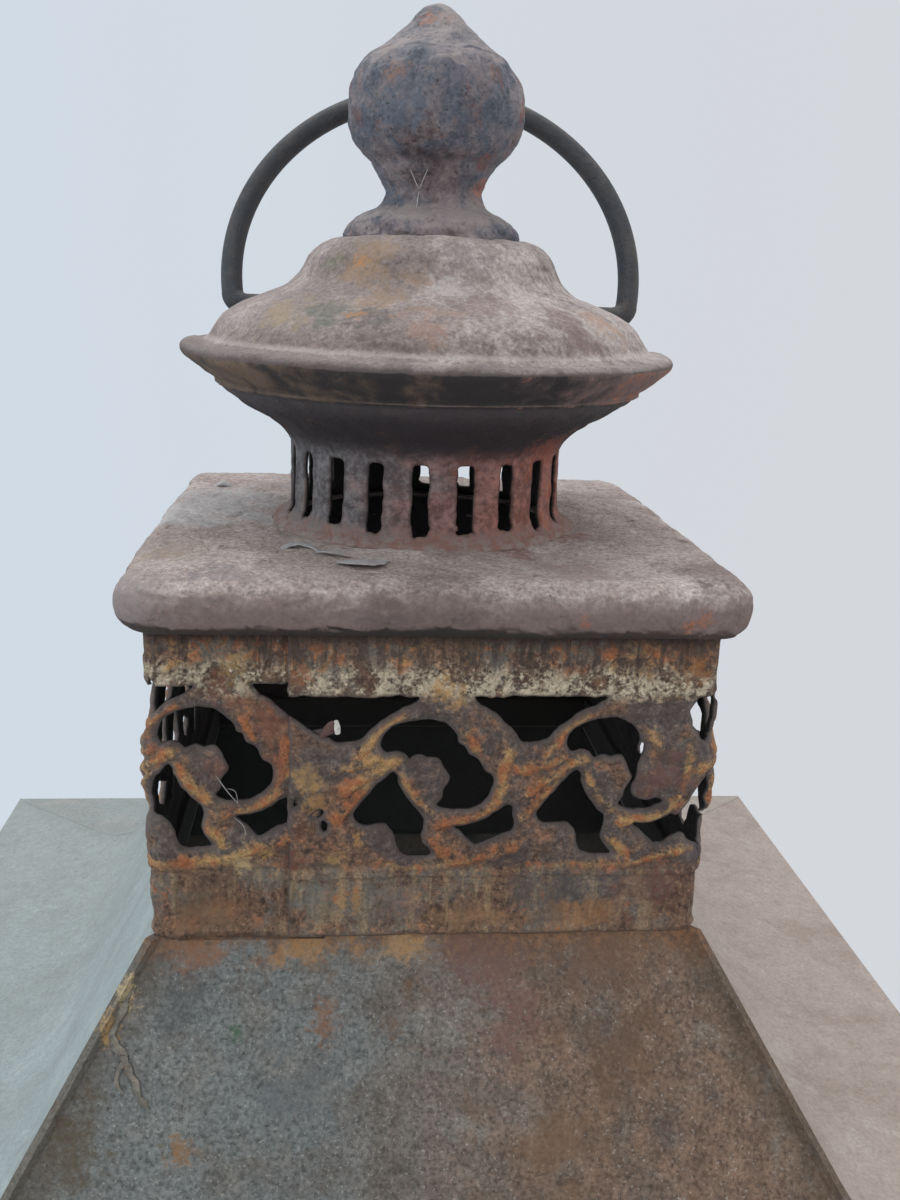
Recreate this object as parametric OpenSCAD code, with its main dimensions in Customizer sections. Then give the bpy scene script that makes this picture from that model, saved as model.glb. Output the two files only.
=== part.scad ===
// Wrought iron candle lantern with a ventilated crown, a pierced gallery and a bell-cast roof.
// Origin: centre of the footprint, on the floor. +Z is up and the glazed door faces -Y.

/* [Crown] */
// Height of the top plate's upper face above the floor
plate_z = 520; // [516:2:540]
// Side of the square top plate
plate_side = 150; // [149:0.5:152]
// Depth of the top plate's rolled edge
plate_depth = 13.7; // [13:0.1:14.4]
// Radius of the top plate's corners in plan
plate_corner_r = 11; // [9:0.5:13]
// Radius of the slotted vent drum
drum_r = 37.2; // [36.8:0.1:37.6]
// Number of slots round the drum
slot_count = 20; // [16:1:22]
// Width of one slot
slot_w = 4.4; // [3:0.2:5]
// Turn of the first slot from the front
slot_turn = 12.5; // [0:0.5:17]

/* [Ring handle] */
// Radius of the ring handle at the middle of its bar
ring_r = 56.7; // [56.5:0.1:57]
// Diameter of the ring handle's round bar
bar_d = 6; // [5:0.5:6]
// Lean of the ring behind the upright, as found
ring_lean = 28; // [24:1:60]
// Turn of the ring's pivot line about the upright, as found
ring_turn = -4; // [-6:1:6]

/* [Gallery] */
// Width of the square pierced gallery over its faces
gallery_side = 136; // [135.8:0.1:136.4]
// Height from the plate's upper face down to the gallery's lower edge
gallery_drop = 92; // [92:1:93]
// Number of scrolls in one full turn of the pierced strip
scroll_count = 11; // [11:1:11]
// Rise of the strip's far end where it laps at the front
lap_rise = 2.5; // [0:0.5:3]

/* [Roof] */
// Width of the square roof at the eaves
eave_side = 332; // [324:2:340]
// Depth of the turned-down eave
eave_drop = 12; // [8:1:14]
// Thickness of the roof, plate and crown sheet
sheet_t = 1.2; // [1:0.1:1.4]

/* [Body] */
// Width of the glazed body over its corner posts
body_side = 232; // [226:2:236]
// Leg width of each angle post
post_leg = 20; // [16:1:22]
// Thickness of the frame strip
strip_t = 1.5; // [1.5:0.1:1.5]
// Thickness of the glass
glass_t = 3; // [2:0.5:3]
// Height of the feet
foot_h = 14; // [10:1:14]

/* [Hidden] */
$fn = 64;

// Colours of the finishes
iron = [0.30, 0.28, 0.27];
dusty = [0.46, 0.42, 0.39];
rusty = [0.50, 0.31, 0.18];
roof_grey = [0.42, 0.41, 0.39];
glass_tint = [0.75, 0.80, 0.80, 0.4];

// Running clearance of a pin in its hole, and the gap between parts that pass each other
pin_gap = 0.05;
pass_gap = 0.3;
// Length by which a cutter runs past what it cuts
past = 1;

// Finial: height above the plate and radius, from the seat up to the tip, with twisted ribs
// round the bulb and leaves round the seat
finial_seat = 75.4;
finial_shape = [
  [75.4, 22.6], [77.6, 21.9], [80.0, 19.6], [82.0, 16.6], [84.4, 13.4], [87.2, 12.6],
  [90.4, 14.2], [94.2, 16.3], [96.6, 18.8], [99.6, 20.9], [103.6, 22.2], [108.0, 22.6],
  [112.4, 22.0], [116.2, 20.4], [119.4, 17.7], [122.2, 13.8], [124.6, 11.0], [127.2, 8.2],
  [129.8, 5.7], [131.6, 3.6], [132.5, 1.4]
];
finial_tip = 132.7;
finial_facets = 64;
swirl_lobes = 16;
swirl_depth = 0.5;
swirl_twist = -25;
leaf_lobes = 9;
leaf_depth = 1.1;
stud_r = 3;
stud_up = 20;
stud_down = 12;

// Dome cap: radius and height above the plate, from its flat seat out to the hemmed skirt
stud_hole_r = 3.3;
dome_shape = [
  [23, 75.4], [25.8, 74.9], [29.4, 73.4], [32.2, 70.6], [33.8, 67.9],
  [35.6, 65.0], [38.6, 62.5], [43.6, 60.3], [50.2, 57.6], [54.4, 54.9], [57.0, 51.8],
  [58.6, 49.2], [60.4, 47.7], [62.6, 47.4], [64.6, 47.3], [65.9, 46.0], [65.3, 44.3],
  [62.6, 42.2], [59.6, 40.0], [57.5, 38.6]
];
seam_r = 57.5;
seam_z = 36.9;
seam_lap = 3;

// Vent collar: the flare below the seam, then the drum down to its foot
flare_shape = [
  [56.3, 36.9], [53.4, 34.4], [49.6, 31.9], [45.0, 29.4], [41.2, 26.8], [38.7, 24.2],
  [37.6, 22.4], [37.2, 21]
];
collar_t = 1;
foot_flange_r = 41.5;
foot_t = 1;
solder_h = 2.4;
slot_low = 3.8;
slot_high = 20.2;
vent_hole_r = 35;

// Ring handle: pivot line behind the middle and above the plate, the height of the ring's
// middle above it, the bend at each end and the pin inside the dome
pivot_y = 14.3;
pivot_z = 56.5;
ring_up = 12.7;
bend_r = 4;
bend_x = sqrt(pow(ring_r - bend_r, 2) - pow(ring_up - bend_r, 2));
bend_angle = atan2(ring_up - bend_r, bend_x);
pin_end_x = 33;
// Overlap of the pins and the ring with the bends, and the forged thickening of the bends
weld_angle = 0.4;
weld_run = 0.3;
upset = 0.1;
pin_head_r = 4.4;
pin_head_t = 2;

// Gallery strip, measured along the faces from the middle of the front
gallery_half = gallery_side / 2;
gallery_bend_r = 4;
lap_x = -35;
lap_under = 8;
first_trunk = -23;
scroll_pitch = (4 * gallery_side - 52.7) / scroll_count;
bead_heights = [-76.3, -91.6];
bead_h = 1.2;
bead_out = 0.5;

// Openings of one scroll: distance from the trunk on its left, and height above the plate
gap_top = -29;
gap_outline = [
  [16.2, -29], [12.7, -31.6], [7.2, -36.2], [3.7, -40.4], [0.4, -41.2], [-2.3, -39.8],
  [-6.3, -34.2], [-9.4, -30.8], [-12.3, -29]
];
eye_upper = [20, -42.5, 11.5];
eye_lower = [28.5, -50, 8.6];
head_lobes = [
  [12.6, -46.4, 3.7], [17.2, -47.6, 3.8], [21.6, -48.2, 3.9], [22.9, -50.6, 3.5],
  [21.4, -53.6, 3.6]
];
head_stem = [[7, -44], [21, -45.5], [24.6, -53.6], [23.3, -58], [18, -60], [7, -52]];
leaf_lobes_upper = [[30.2, -34.8, 3.9], [32.9, -39.2, 3.6], [35.4, -43.6, 2.9]];
fork_outline = [
  [12, -48.5], [13, -52], [16.5, -57], [20.3, -60.5], [19.5, -65.5], [23.5, -70],
  [15, -70.3], [13.4, -65.5], [10.5, -61.8], [4, -62], [3.3, -58.5], [8, -52.3]
];
lens_outline = [
  [27, -61.8], [35, -60], [41.7, -56.8], [42.3, -63], [36, -66], [33, -68], [29.5, -64.5]
];
tear_outline = [
  [61, -50], [64.5, -47.5], [70, -49], [70, -66.5], [66, -64.5], [63.5, -66], [61.5, -60]
];

// Roof profile: half-width and height above the plate, down to the eave
roof_top_half = gallery_half - sheet_t;
roof_tuck = 12;
roof_slope = 1.66;
flare_r = 34.5;
eave_half = eave_side / 2;
eave_z = -167;
eave_low = eave_z - eave_drop;
eave_angle = 8.5;
slope_angle = atan(roof_slope);
flare_x = eave_half - 166 + 99.0;
flare_z = -gallery_drop + 1 - roof_slope * (flare_x - roof_top_half);
flare_centre = [flare_x + flare_r * sin(slope_angle), flare_z + flare_r * cos(slope_angle)];
hip_fold_w = 2.4;
hip_fold_up = 1.5;
hip_fold_in = 0.9;
drip_r = 2.2;

// Body levels above the floor, and half-widths
body_half = body_side / 2;
band_half = body_half + strip_t;
skirt_top = 40;
floor_z = skirt_top + strip_t;
sill_top = 52;
pane_top = 334;
head_bottom = 330;
post_top = 356;
post_inner = body_half - strip_t;
pane_half = post_inner - glass_t - 3.5;
rivet_r = 1.5;
rivet_head_r = 3;
rivet_head_h = 1.1;
rivet_zs = [47, 344];
rivet_in = 8;
clip_zs = [90, 290];
clip_w = 8;
clip_t = 1;
clip_reach = 14.5;

// Door
door_half = body_half - post_leg - 1;
door_low = 54;
door_high = 328;
door_rail = 14;
door_front = -band_half;
door_return_t = 1.2;
door_depth = 6.5;
door_clip_reach = 8;

// Hinges: pin line beside the left post, and the knuckles' lengths
hinge_x = -door_half - 0.5;
hinge_y = door_front - 2.9;
barrel_r = 2.6;
hinge_pin_r = 1.5;
hinge_half = 18;
knuckle_half = 6;
hinge_zs = [110, 272];

// Turn latch
latch_x = 88;
latch_z = 190;
latch_rivet_r = 2;
tongue_w = 10;
tongue_len = 26;
tongue_t = 1.5;
tongue_back = door_front - pass_gap;
knob_drop = 12;
keeper_w = 8;
keeper_x = 107;

// Candle holder, skirt and feet
cup_r = 38;
cup_h = 14;
spike_h = 28;
skirt_out = 134;
skirt_flange_in = 98;
foot_at = 114;
foot_r = 13;
screw_r = 2;

// Curves and skins
// Point on the smooth curve between b and c, with neighbours a and d
function smooth(a, b, c, d, t) =
  0.5 * (2 * b + (c - a) * t + (2 * a - 5 * b + 4 * c - d) * t * t
  + (3 * b - a - 3 * c + d) * t * t * t);

// Smooth open curve through points p with n steps between two of them
function open_curve(p, n) = concat(
  [
    for (i = [0:len(p) - 2])
      for (k = [0:n - 1])
        smooth(p[max(i - 1, 0)], p[i], p[i + 1], p[min(i + 2, len(p) - 1)], k / n)
  ],
  [p[len(p) - 1]]
);

// Smooth closed curve through points p with n steps between two of them
function closed_curve(p, n) = [
  for (i = [0:len(p) - 1])
    for (k = [0:n - 1])
      smooth(
        p[(i + len(p) - 1) % len(p)], p[i], p[(i + 1) % len(p)], p[(i + 2) % len(p)], k / n
      )
];

// Direction square to path p at point i, on the right of its run
function side_of(p, i) =
  let (run = p[min(i + 1, len(p) - 1)] - p[max(i - 1, 0)])
  [run[1], -run[0]] / norm(run);

// Path p moved sideways by t
function moved(p, t) = [for (i = [0:len(p) - 1]) p[i] + t * side_of(p, i)];

// Path p in reverse order
function reversed(p) = [for (i = [len(p) - 1:-1:0]) p[i]];

// Closed outline of a sheet of thickness t whose outer face is path p
function sheet_outline(p, t) = concat(p, reversed(moved(p, t)));

// Dome's outer face from the stud hole down to its seam
dome_path = concat([[stud_hole_r, finial_seat]], open_curve(dome_shape, 2));

// Collar's outer face from the lip inside the dome's seam down to the top of its foot
collar_path = concat(
  [[seam_r - sheet_t, seam_z + seam_lap - 0.6]],
  open_curve(flare_shape, 2),
  [[drum_r, foot_t + solder_h]]
);

// Roof's outer face from the tuck inside the gallery down to the eave
roof_path = concat(
  [
    [roof_top_half, -gallery_drop + roof_tuck],
    [roof_top_half, -gallery_drop + 1]
  ],
  [
    for (k = [0:8])
      let (a = slope_angle + (eave_angle - slope_angle) * k / 8)
      flare_centre + flare_r * [-sin(a), -cos(a)]
  ],
  [[eave_half, eave_z]]
);

module at_plate() {
  translate([0, 0, plate_z])
    children();
}

// Rounded square in plan, half its width and corner radius
module rounded_square(half, r) {
  square([2 * half, 2 * (half - r)], center = true);
  square([2 * (half - r), 2 * half], center = true);
  for (sx = [-1, 1], sy = [-1, 1])
    translate([sx * (half - r), sy * (half - r)])
      circle(r);
}

// Square band between two half-widths, from z0 up to z1
module square_band(outer, inner, z0, z1) {
  difference() {
    translate([-outer, -outer, z0])
      cube([2 * outer, 2 * outer, z1 - z0]);
    translate([-inner, -inner, z0 - past])
      cube([2 * inner, 2 * inner, z1 - z0 + 2 * past]);
  }
}

// Half section of a slab with a full-round edge: from the axis out to x, round and back
function round_edge(x, r) = concat(
  [[0, -r]],
  [for (k = [-6:6]) [x + r * cos(15 * k), r * sin(15 * k)]],
  [[0, r]]
);

// Slab with a full-round edge, centred on its axis plane
module round_edge_slab(axis_half, corner_r, edge_r) {
  straight = axis_half - corner_r;
  half = round_edge(axis_half, edge_r);
  for (turn = [0, 90])
    rotate([90, 0, turn])
      linear_extrude(2 * straight, center = true)
        polygon(concat(half, [for (p = reversed(half)) [-p[0], p[1]]]));
  for (turn = [0:90:270])
    rotate([0, 0, turn])
      translate([straight, straight, 0])
        rotate_extrude(angle = 90)
          polygon(round_edge(corner_r, edge_r));
}

// Crown
// Radius of the finial at profile point i and angle a
function finial_radius(i, a) =
  let (
    h = finial_shape[i][0],
    turned = a + swirl_twist * (h - finial_seat) / (finial_tip - finial_seat),
    in_bulb = h > 92 && h < 125 ? sin(180 * (h - 92) / 33) : 0,
    in_leaf = h < 84 ? sin(90 * (84 - h) / 8.6) : 0
  )
  finial_shape[i][1] + swirl_depth * in_bulb * cos(swirl_lobes * turned)
  + leaf_depth * in_leaf * cos(leaf_lobes * a);

module finial() {
  rings = len(finial_shape);
  n = finial_facets;
  points = concat(
    [
      for (i = [0:rings - 1])
        for (k = [0:n - 1])
          let (a = 360 * k / n, r = finial_radius(i, a))
          [r * cos(a), r * sin(a), finial_shape[i][0]]
    ],
    [[0, 0, finial_tip]]
  );
  faces = concat(
    [[for (k = [0:n - 1]) k]],
    [
      for (i = [0:rings - 2])
        for (k = [0:n - 1])
          let (m = (k + 1) % n)
          each [
            [i * n + k, (i + 1) * n + k, (i + 1) * n + m],
            [i * n + k, (i + 1) * n + m, i * n + m]
          ]
    ],
    [for (k = [0:n - 1]) [(rings - 1) * n + k, rings * n, (rings - 1) * n + (k + 1) % n]]
  );
  color(iron)
    at_plate()
      difference() {
        polyhedron(points = points, faces = faces);
        translate([0, 0, finial_seat - past])
          cylinder(h = stud_up + past, r = stud_r);
      }
}

module finial_stud() {
  color(iron)
    at_plate()
      translate([0, 0, finial_seat - stud_down])
        cylinder(h = stud_up + stud_down, r = stud_r);
}

module crown_washer() {
  color(iron)
    at_plate()
      translate([0, 0, finial_seat - sheet_t - 1.6])
        difference() {
          cylinder(h = 1.6, r = 9);
          translate([0, 0, -past])
            cylinder(h = 1.6 + 2 * past, r = stud_r);
        }
}

module crown_nut() {
  color(iron)
    at_plate()
      translate([0, 0, finial_seat - sheet_t - 1.6 - 5])
        difference() {
          cylinder(h = 5, r = 5.8, $fn = 6);
          translate([0, 0, -past])
            cylinder(h = 5 + 2 * past, r = stud_r);
        }
}

// Hole for one end of the ring handle through the dome's shoulder
module ring_hole() {
  rotate([0, 0, ring_turn])
    translate([0, pivot_y, pivot_z])
      for (side = [0, 180])
        rotate([0, 90, side]) {
          translate([0, 0, pin_end_x - 3])
            cylinder(h = 30, r = bar_d / 2 + pin_gap);
          translate([0, 0, bend_x - 0.5])
            cylinder(h = 12, r = bar_d / 2 + 0.5);
        }
}

module dome_cap() {
  color(dusty)
    at_plate()
      difference() {
        union() {
          rotate_extrude()
            polygon(sheet_outline(dome_path, sheet_t));
          rotate_extrude()
            translate([seam_r - sheet_t, seam_z])
              square([sheet_t, seam_lap - 0.8]);
        }
        ring_hole();
      }
}

module ring_handle() {
  bar_r = bar_d / 2;
  color(iron)
    at_plate()
      rotate([0, 0, ring_turn])
        translate([0, pivot_y, pivot_z])
          rotate([-ring_lean, 0, 0])
            rotate([90, 0, 0]) {
              translate([0, ring_up, 0])
                rotate([0, 0, -bend_angle - weld_angle])
                  rotate_extrude(angle = 180 + 2 * (bend_angle + weld_angle))
                    translate([ring_r, 0])
                      circle(bar_r);
              for (side = [0, 180])
                rotate([0, side, 0]) {
                  translate([bend_x, bend_r, 0])
                    rotate([0, 0, -90])
                      rotate_extrude(angle = 90 - bend_angle)
                        translate([bend_r, 0])
                          circle(bar_r + upset);
                  translate([pin_end_x, 0, 0])
                    rotate([0, 90, 0])
                      cylinder(h = bend_x - pin_end_x + weld_run, r = bar_r);
                  translate([pin_end_x - pin_head_t, 0, 0])
                    rotate([0, 90, 0])
                      cylinder(h = pin_head_t, r = pin_head_r);
                }
            }
}

// One drum slot with round ends, cutting the wall on the -Y side
module drum_slot() {
  half_w = slot_w / 2;
  translate([0, -drum_r + 3, 0])
    rotate([90, 0, 0])
      linear_extrude(6)
        union() {
          translate([0, slot_low + half_w])
            circle(half_w);
          translate([0, slot_high - half_w])
            circle(half_w);
          translate([-half_w, slot_low + half_w])
            square([slot_w, slot_high - slot_low - slot_w]);
        }
}

module vent_collar() {
  color(rusty)
    at_plate()
      difference() {
        rotate_extrude()
          polygon(concat(
            collar_path,
            [
              [foot_flange_r - 1, foot_t], [foot_flange_r, foot_t], [foot_flange_r, 0],
              [drum_r - collar_t, 0]
            ],
            reversed(moved(collar_path, collar_t))
          ));
        for (i = [0:slot_count - 1])
          rotate([0, 0, slot_turn + i * 360 / slot_count])
            drum_slot();
      }
}

module top_plate() {
  edge_r = plate_depth / 2;
  axis_half = plate_side / 2 - edge_r;
  corner_r = plate_corner_r - edge_r;
  color(dusty)
    at_plate()
      difference() {
        translate([0, 0, -edge_r])
          round_edge_slab(axis_half, corner_r, edge_r);
        translate([0, 0, -edge_r])
          round_edge_slab(axis_half, corner_r, edge_r - sheet_t);
        translate([0, 0, -plate_depth - past])
          linear_extrude(plate_depth - sheet_t + past - 0.5)
            rounded_square(gallery_half, gallery_bend_r);
        translate([0, 0, -sheet_t - past])
          cylinder(h = sheet_t + 2 * past, r = vent_hole_r);
      }
}

// Gallery
// Two circles joined by their outer tangents, each given as [x, y, r]
module joined_circles(a, b) {
  span = norm([b[0] - a[0], b[1] - a[1]]);
  lie = atan2(b[1] - a[1], b[0] - a[0]);
  open = acos((a[2] - b[2]) / span);
  translate([a[0], a[1]])
    circle(a[2]);
  translate([b[0], b[1]])
    circle(b[2]);
  polygon([
    for (end = [[a, 1], [b, 1], [b, -1], [a, -1]])
      let (c = end[0], t = lie + end[1] * open)
      [c[0] + c[2] * cos(t), c[1] + c[2] * sin(t)]
  ]);
}

module lobes(list) {
  for (lobe = list)
    translate([lobe[0], lobe[1]])
      circle(lobe[2], $fn = 32);
}

// Eye of one scroll: the slanted round opening, less the leafy head and the upper leaf
module scroll_eye() {
  difference() {
    joined_circles(eye_upper, eye_lower);
    lobes(head_lobes);
    polygon(head_stem);
    lobes(leaf_lobes_upper);
  }
}

// All openings of one scroll
module scroll_openings() {
  polygon(open_curve(gap_outline, 2));
  scroll_eye();
  polygon(closed_curve(fork_outline, 2));
  polygon(closed_curve(lens_outline, 2));
}

// Cutter for the scroll whose trunk stands at distance s from the middle of the face below it
module scroll_cutter(s, rise) {
  translate([s, -gallery_half + 5, rise])
    rotate([90, 0, 0])
      linear_extrude(8)
        scroll_openings();
}

function trunk(k) = first_trunk + scroll_pitch * k;
function rise_at(k) = lap_rise * k / scroll_count;

// Folded tube of the strip with its embossed beads
module gallery_tube() {
  linear_extrude(gallery_drop - sheet_t)
    difference() {
      rounded_square(gallery_half, gallery_bend_r);
      rounded_square(gallery_half - sheet_t, gallery_bend_r - sheet_t);
    }
}

module gallery_bead(z) {
  translate([0, 0, z])
    linear_extrude(bead_h)
      difference() {
        rounded_square(gallery_half + bead_out, gallery_bend_r + bead_out);
        rounded_square(gallery_half - 0.4, gallery_bend_r - 0.4);
      }
}

module gallery_main() {
  difference() {
    union() {
      translate([0, 0, -gallery_drop])
        gallery_tube();
      for (z = bead_heights)
        gallery_bead(z);
    }
    for (face = [0:3])
      rotate([0, 0, 90 * face])
        for (k = [0:scroll_count])
          let (s = trunk(k) - gallery_side * face)
          if (s > -gallery_half - 44 && s < gallery_half + 14)
            scroll_cutter(s, rise_at(k));
    translate([-gallery_half + 8, -gallery_half - 2, -gallery_drop - past])
      cube([lap_x + gallery_half - 8, 5, gallery_drop - sheet_t + 2 * past]);
    translate([0, -gallery_half + 5, 0])
      rotate([90, 0, 0])
        linear_extrude(8)
          polygon(tear_outline);
    translate([gallery_half - 6, -gallery_half - 1, -65])
      cube([8, 5, 14]);
  }
}

// Far end of the strip, which passes behind the near end at the front
module gallery_lap() {
  left = -gallery_half + 7;
  difference() {
    translate([left, -gallery_half + sheet_t, -gallery_drop])
      cube([lap_x + lap_under - left, sheet_t, gallery_drop - sheet_t]);
    for (k = [scroll_count, scroll_count + 1])
      scroll_cutter(trunk(k) - 4 * gallery_side, lap_rise);
  }
}

module pierced_gallery() {
  color(rusty)
    at_plate() {
      gallery_main();
      gallery_lap();
    }
}

// Roof
// Solid under the roof's face moved in by t, down to height low, square in every level section
module roof_solid(t, low) {
  face = t == 0 ? roof_path : moved(roof_path, t);
  last = face[len(face) - 1];
  side = concat(
    [[face[0][0], face[0][1] + (t == 0 ? 0 : past)]],
    face,
    [[eave_half - t, last[1]], [eave_half - t, low]]
  );
  outline = concat(side, [for (p = reversed(side)) [-p[0], p[1]]]);
  intersection() {
    rotate([90, 0, 0])
      linear_extrude(2 * eave_side, center = true)
        polygon(outline);
    rotate([90, 0, 90])
      linear_extrude(2 * eave_side, center = true)
        polygon(outline);
  }
}

// Folded seam along the hips on the line from one corner to the opposite one
module hip_folds() {
  hip = [for (p = roof_path) if (p[1] < -gallery_drop + 2) [p[0] * sqrt(2), p[1]]];
  band = concat(moved(hip, -hip_fold_up), reversed(moved(hip, hip_fold_in)));
  for (turn = [45:90:315])
    rotate([0, 0, turn])
      rotate([90, 0, 0])
        linear_extrude(hip_fold_w, center = true)
          polygon(band);
}

// Quarter of the plan that holds one roof panel
module roof_quarter() {
  reach = 2 * eave_half;
  translate([0, 0, eave_z - 60])
    linear_extrude(160)
      polygon([[0, 0], [-reach, -reach], [reach, -reach]]);
}

// Square collar that trims the tucked edge to the gallery's bent corners
module tuck_trim() {
  translate([0, 0, -gallery_drop])
    linear_extrude(roof_tuck + past)
      difference() {
        square(2 * gallery_side, center = true);
        rounded_square(gallery_half - sheet_t, gallery_bend_r - sheet_t);
      }
}

module drip_roll() {
  translate([-eave_half, -eave_half + drip_r, eave_low])
    rotate([0, 90, 0])
      cylinder(h = eave_side, r = drip_r);
}

module roof_panel(turn, folded) {
  color(roof_grey)
    at_plate()
      rotate([0, 0, turn])
        difference() {
          union() {
            intersection() {
              difference() {
                roof_solid(0, eave_low);
                roof_solid(sheet_t, eave_low - past);
              }
              roof_quarter();
            }
            intersection() {
              drip_roll();
              roof_quarter();
            }
            if (folded)
              intersection() {
                hip_folds();
                translate([-eave_side, -eave_side, eave_z - 40])
                  cube([2 * eave_side, eave_side, 80 + gallery_drop]);
              }
          }
          tuck_trim();
          if (!folded)
            hip_folds();
          if (turn == 0)
            translate([-gallery_half + 6, -gallery_half, -gallery_drop - past])
              cube([lap_x + lap_under + gallery_half - 5, 2 * sheet_t, roof_tuck + 2 * past]);
        }
}

// Body
// Holes or shanks of the rivets that join the posts to the bands
module rivet_places() {
  for (turn = [0:90:270], side = [-1, 1], z = rivet_zs)
    rotate([0, 0, turn])
      translate([side * (body_half - rivet_in), -post_inner, z])
        rotate([90, 0, 0])
          children();
}

module rivet_holes() {
  rivet_places()
    translate([0, 0, -past])
      cylinder(h = 2 * strip_t + 2 * past, r = rivet_r);
}

module head_band() {
  color(iron)
    difference() {
      intersection() {
        square_band(band_half, body_half, head_bottom, plate_z - 130);
        at_plate()
          roof_solid(sheet_t, head_bottom - past - plate_z);
      }
      rivet_holes();
    }
}

module sill_band() {
  color(iron)
    difference() {
      square_band(band_half, body_half, floor_z, sill_top);
      rivet_holes();
    }
}

module post(sx, sy) {
  color(iron)
    difference() {
      translate([0, 0, floor_z])
        linear_extrude(post_top - floor_z)
          difference() {
            translate([sx * (body_half - post_leg / 2), sy * (body_half - post_leg / 2)])
              square(post_leg, center = true);
            translate([
              sx * (body_half - strip_t - post_leg / 2),
              sy * (body_half - strip_t - post_leg / 2)
            ])
              square(post_leg, center = true);
          }
      rivet_holes();
    }
}

module frame_rivets() {
  color(iron)
    rivet_places() {
      cylinder(h = 2 * strip_t, r = rivet_r);
      translate([0, 0, 2 * strip_t])
        cylinder(h = rivet_head_h, r1 = rivet_head_r, r2 = rivet_head_r - 1);
    }
}

module pane(turn) {
  color(glass_tint)
    rotate([0, 0, turn])
      translate([-pane_half, -post_inner, sill_top])
        cube([2 * pane_half, glass_t, pane_top - sill_top]);
}

module glass_clips() {
  color(iron)
    for (turn = [90, 180, 270], side = [-1, 1], z = clip_zs)
      rotate([0, 0, turn])
        translate([
          side * (post_inner - clip_reach / 2) - clip_reach / 2,
          -post_inner + glass_t,
          z - clip_w / 2
        ])
          cube([clip_reach, clip_t, clip_w]);
}

// Door
module door_frame() {
  opening = door_half - door_rail;
  color(iron)
    difference() {
      translate([-door_half, door_front, door_low])
        cube([2 * door_half, door_depth, door_high - door_low]);
      translate([-door_half + door_return_t, door_front + strip_t, door_low + door_return_t])
        cube([
          2 * (door_half - door_return_t),
          door_depth,
          door_high - door_low - 2 * door_return_t
        ]);
      translate([-opening, door_front - past, door_low + door_rail])
        cube([2 * opening, strip_t + 2 * past, door_high - door_low - 2 * door_rail]);
      translate([latch_x, door_front - past, latch_z])
        rotate([-90, 0, 0])
          cylinder(h = strip_t + 2 * past, r = latch_rivet_r);
    }
}

module door_pane() {
  half = door_half - door_return_t - pass_gap;
  low = door_low + door_return_t;
  color(glass_tint)
    translate([-half, door_front + strip_t, low])
      cube([2 * half, glass_t, door_high - door_return_t - pass_gap - low]);
}

module door_clips() {
  inner = door_half - door_return_t;
  color(iron)
    for (side = [-1, 1], z = clip_zs)
      translate([
        side * (inner - door_clip_reach / 2) - door_clip_reach / 2,
        door_front + strip_t + glass_t,
        z - clip_w / 2
      ])
        cube([door_clip_reach, clip_t, clip_w]);
}

// Part of a hinge barrel between two heights, bored to the given radius
module knuckle(z0, z1, bore_r) {
  translate([hinge_x, hinge_y, z0])
    difference() {
      cylinder(h = z1 - z0, r = barrel_r);
      translate([0, 0, -past])
        cylinder(h = z1 - z0 + 2 * past, r = bore_r);
    }
}

// Hinge half on the post: a leaf with the outer knuckles
module post_hinge(z) {
  color(iron)
    translate([0, 0, z]) {
      translate([-body_half + 2, -band_half, -hinge_half])
        cube([body_half - 2 + hinge_x - 2, strip_t, 2 * hinge_half]);
      for (end = [-1, 1]) {
        low = end < 0 ? -hinge_half : knuckle_half + pass_gap;
        high = end < 0 ? -knuckle_half - pass_gap : hinge_half;
        knuckle(low, high, hinge_pin_r);
        difference() {
          translate([hinge_x - 3, hinge_y + 1, low])
            cube([3, -body_half - hinge_y - 1, high - low]);
          translate([hinge_x, hinge_y, low - past])
            cylinder(h = high - low + 2 * past, r = hinge_pin_r);
        }
      }
    }
}

// Hinge half on the door: a leaf with the middle knuckle
module door_hinge(z) {
  leaf_x = hinge_x + 3.1;
  color(iron)
    translate([0, 0, z]) {
      knuckle(-knuckle_half, knuckle_half, hinge_pin_r + pin_gap);
      translate([leaf_x, door_front - strip_t, -hinge_half])
        cube([-door_half + door_rail - 1.5 - leaf_x, strip_t, 2 * hinge_half]);
      difference() {
        translate([hinge_x, hinge_y, -knuckle_half])
          cube([leaf_x - hinge_x + 1, door_front - hinge_y, 2 * knuckle_half]);
        translate([hinge_x, hinge_y, -hinge_half])
          cylinder(h = 2 * hinge_half, r = hinge_pin_r + pin_gap);
      }
    }
}

module hinge_pin(z) {
  color(iron)
    translate([hinge_x, hinge_y, z - hinge_half]) {
      cylinder(h = 2 * hinge_half, r = hinge_pin_r);
      translate([0, 0, 2 * hinge_half])
        cylinder(h = 1.2, r = hinge_pin_r + 0.8);
    }
}

module latch_tongue() {
  half_w = tongue_w / 2;
  color(iron)
    translate([latch_x, tongue_back, latch_z])
      rotate([90, 0, 0])
        linear_extrude(tongue_t)
          difference() {
            union() {
              circle(half_w);
              translate([-half_w, -tongue_len + half_w])
                square([tongue_w, tongue_len - half_w]);
              translate([0, -tongue_len + half_w])
                circle(half_w);
            }
            circle(latch_rivet_r + pin_gap);
          }
}

module latch_knob() {
  color(iron)
    translate([latch_x, tongue_back - tongue_t, latch_z - knob_drop])
      rotate([90, 0, 0]) {
        cylinder(h = 4, r = 2.2);
        translate([0, 0, 7])
          sphere(4.2);
      }
}

module latch_rivet() {
  head_y = tongue_back - tongue_t - pass_gap;
  color(iron)
    translate([latch_x, 0, latch_z])
      rotate([90, 0, 0]) {
        translate([0, 0, -door_front - strip_t])
          cylinder(h = strip_t - head_y + door_front, r = latch_rivet_r);
        translate([0, 0, -head_y])
          cylinder(h = 1.2, r1 = 4, r2 = 3);
      }
}

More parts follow.
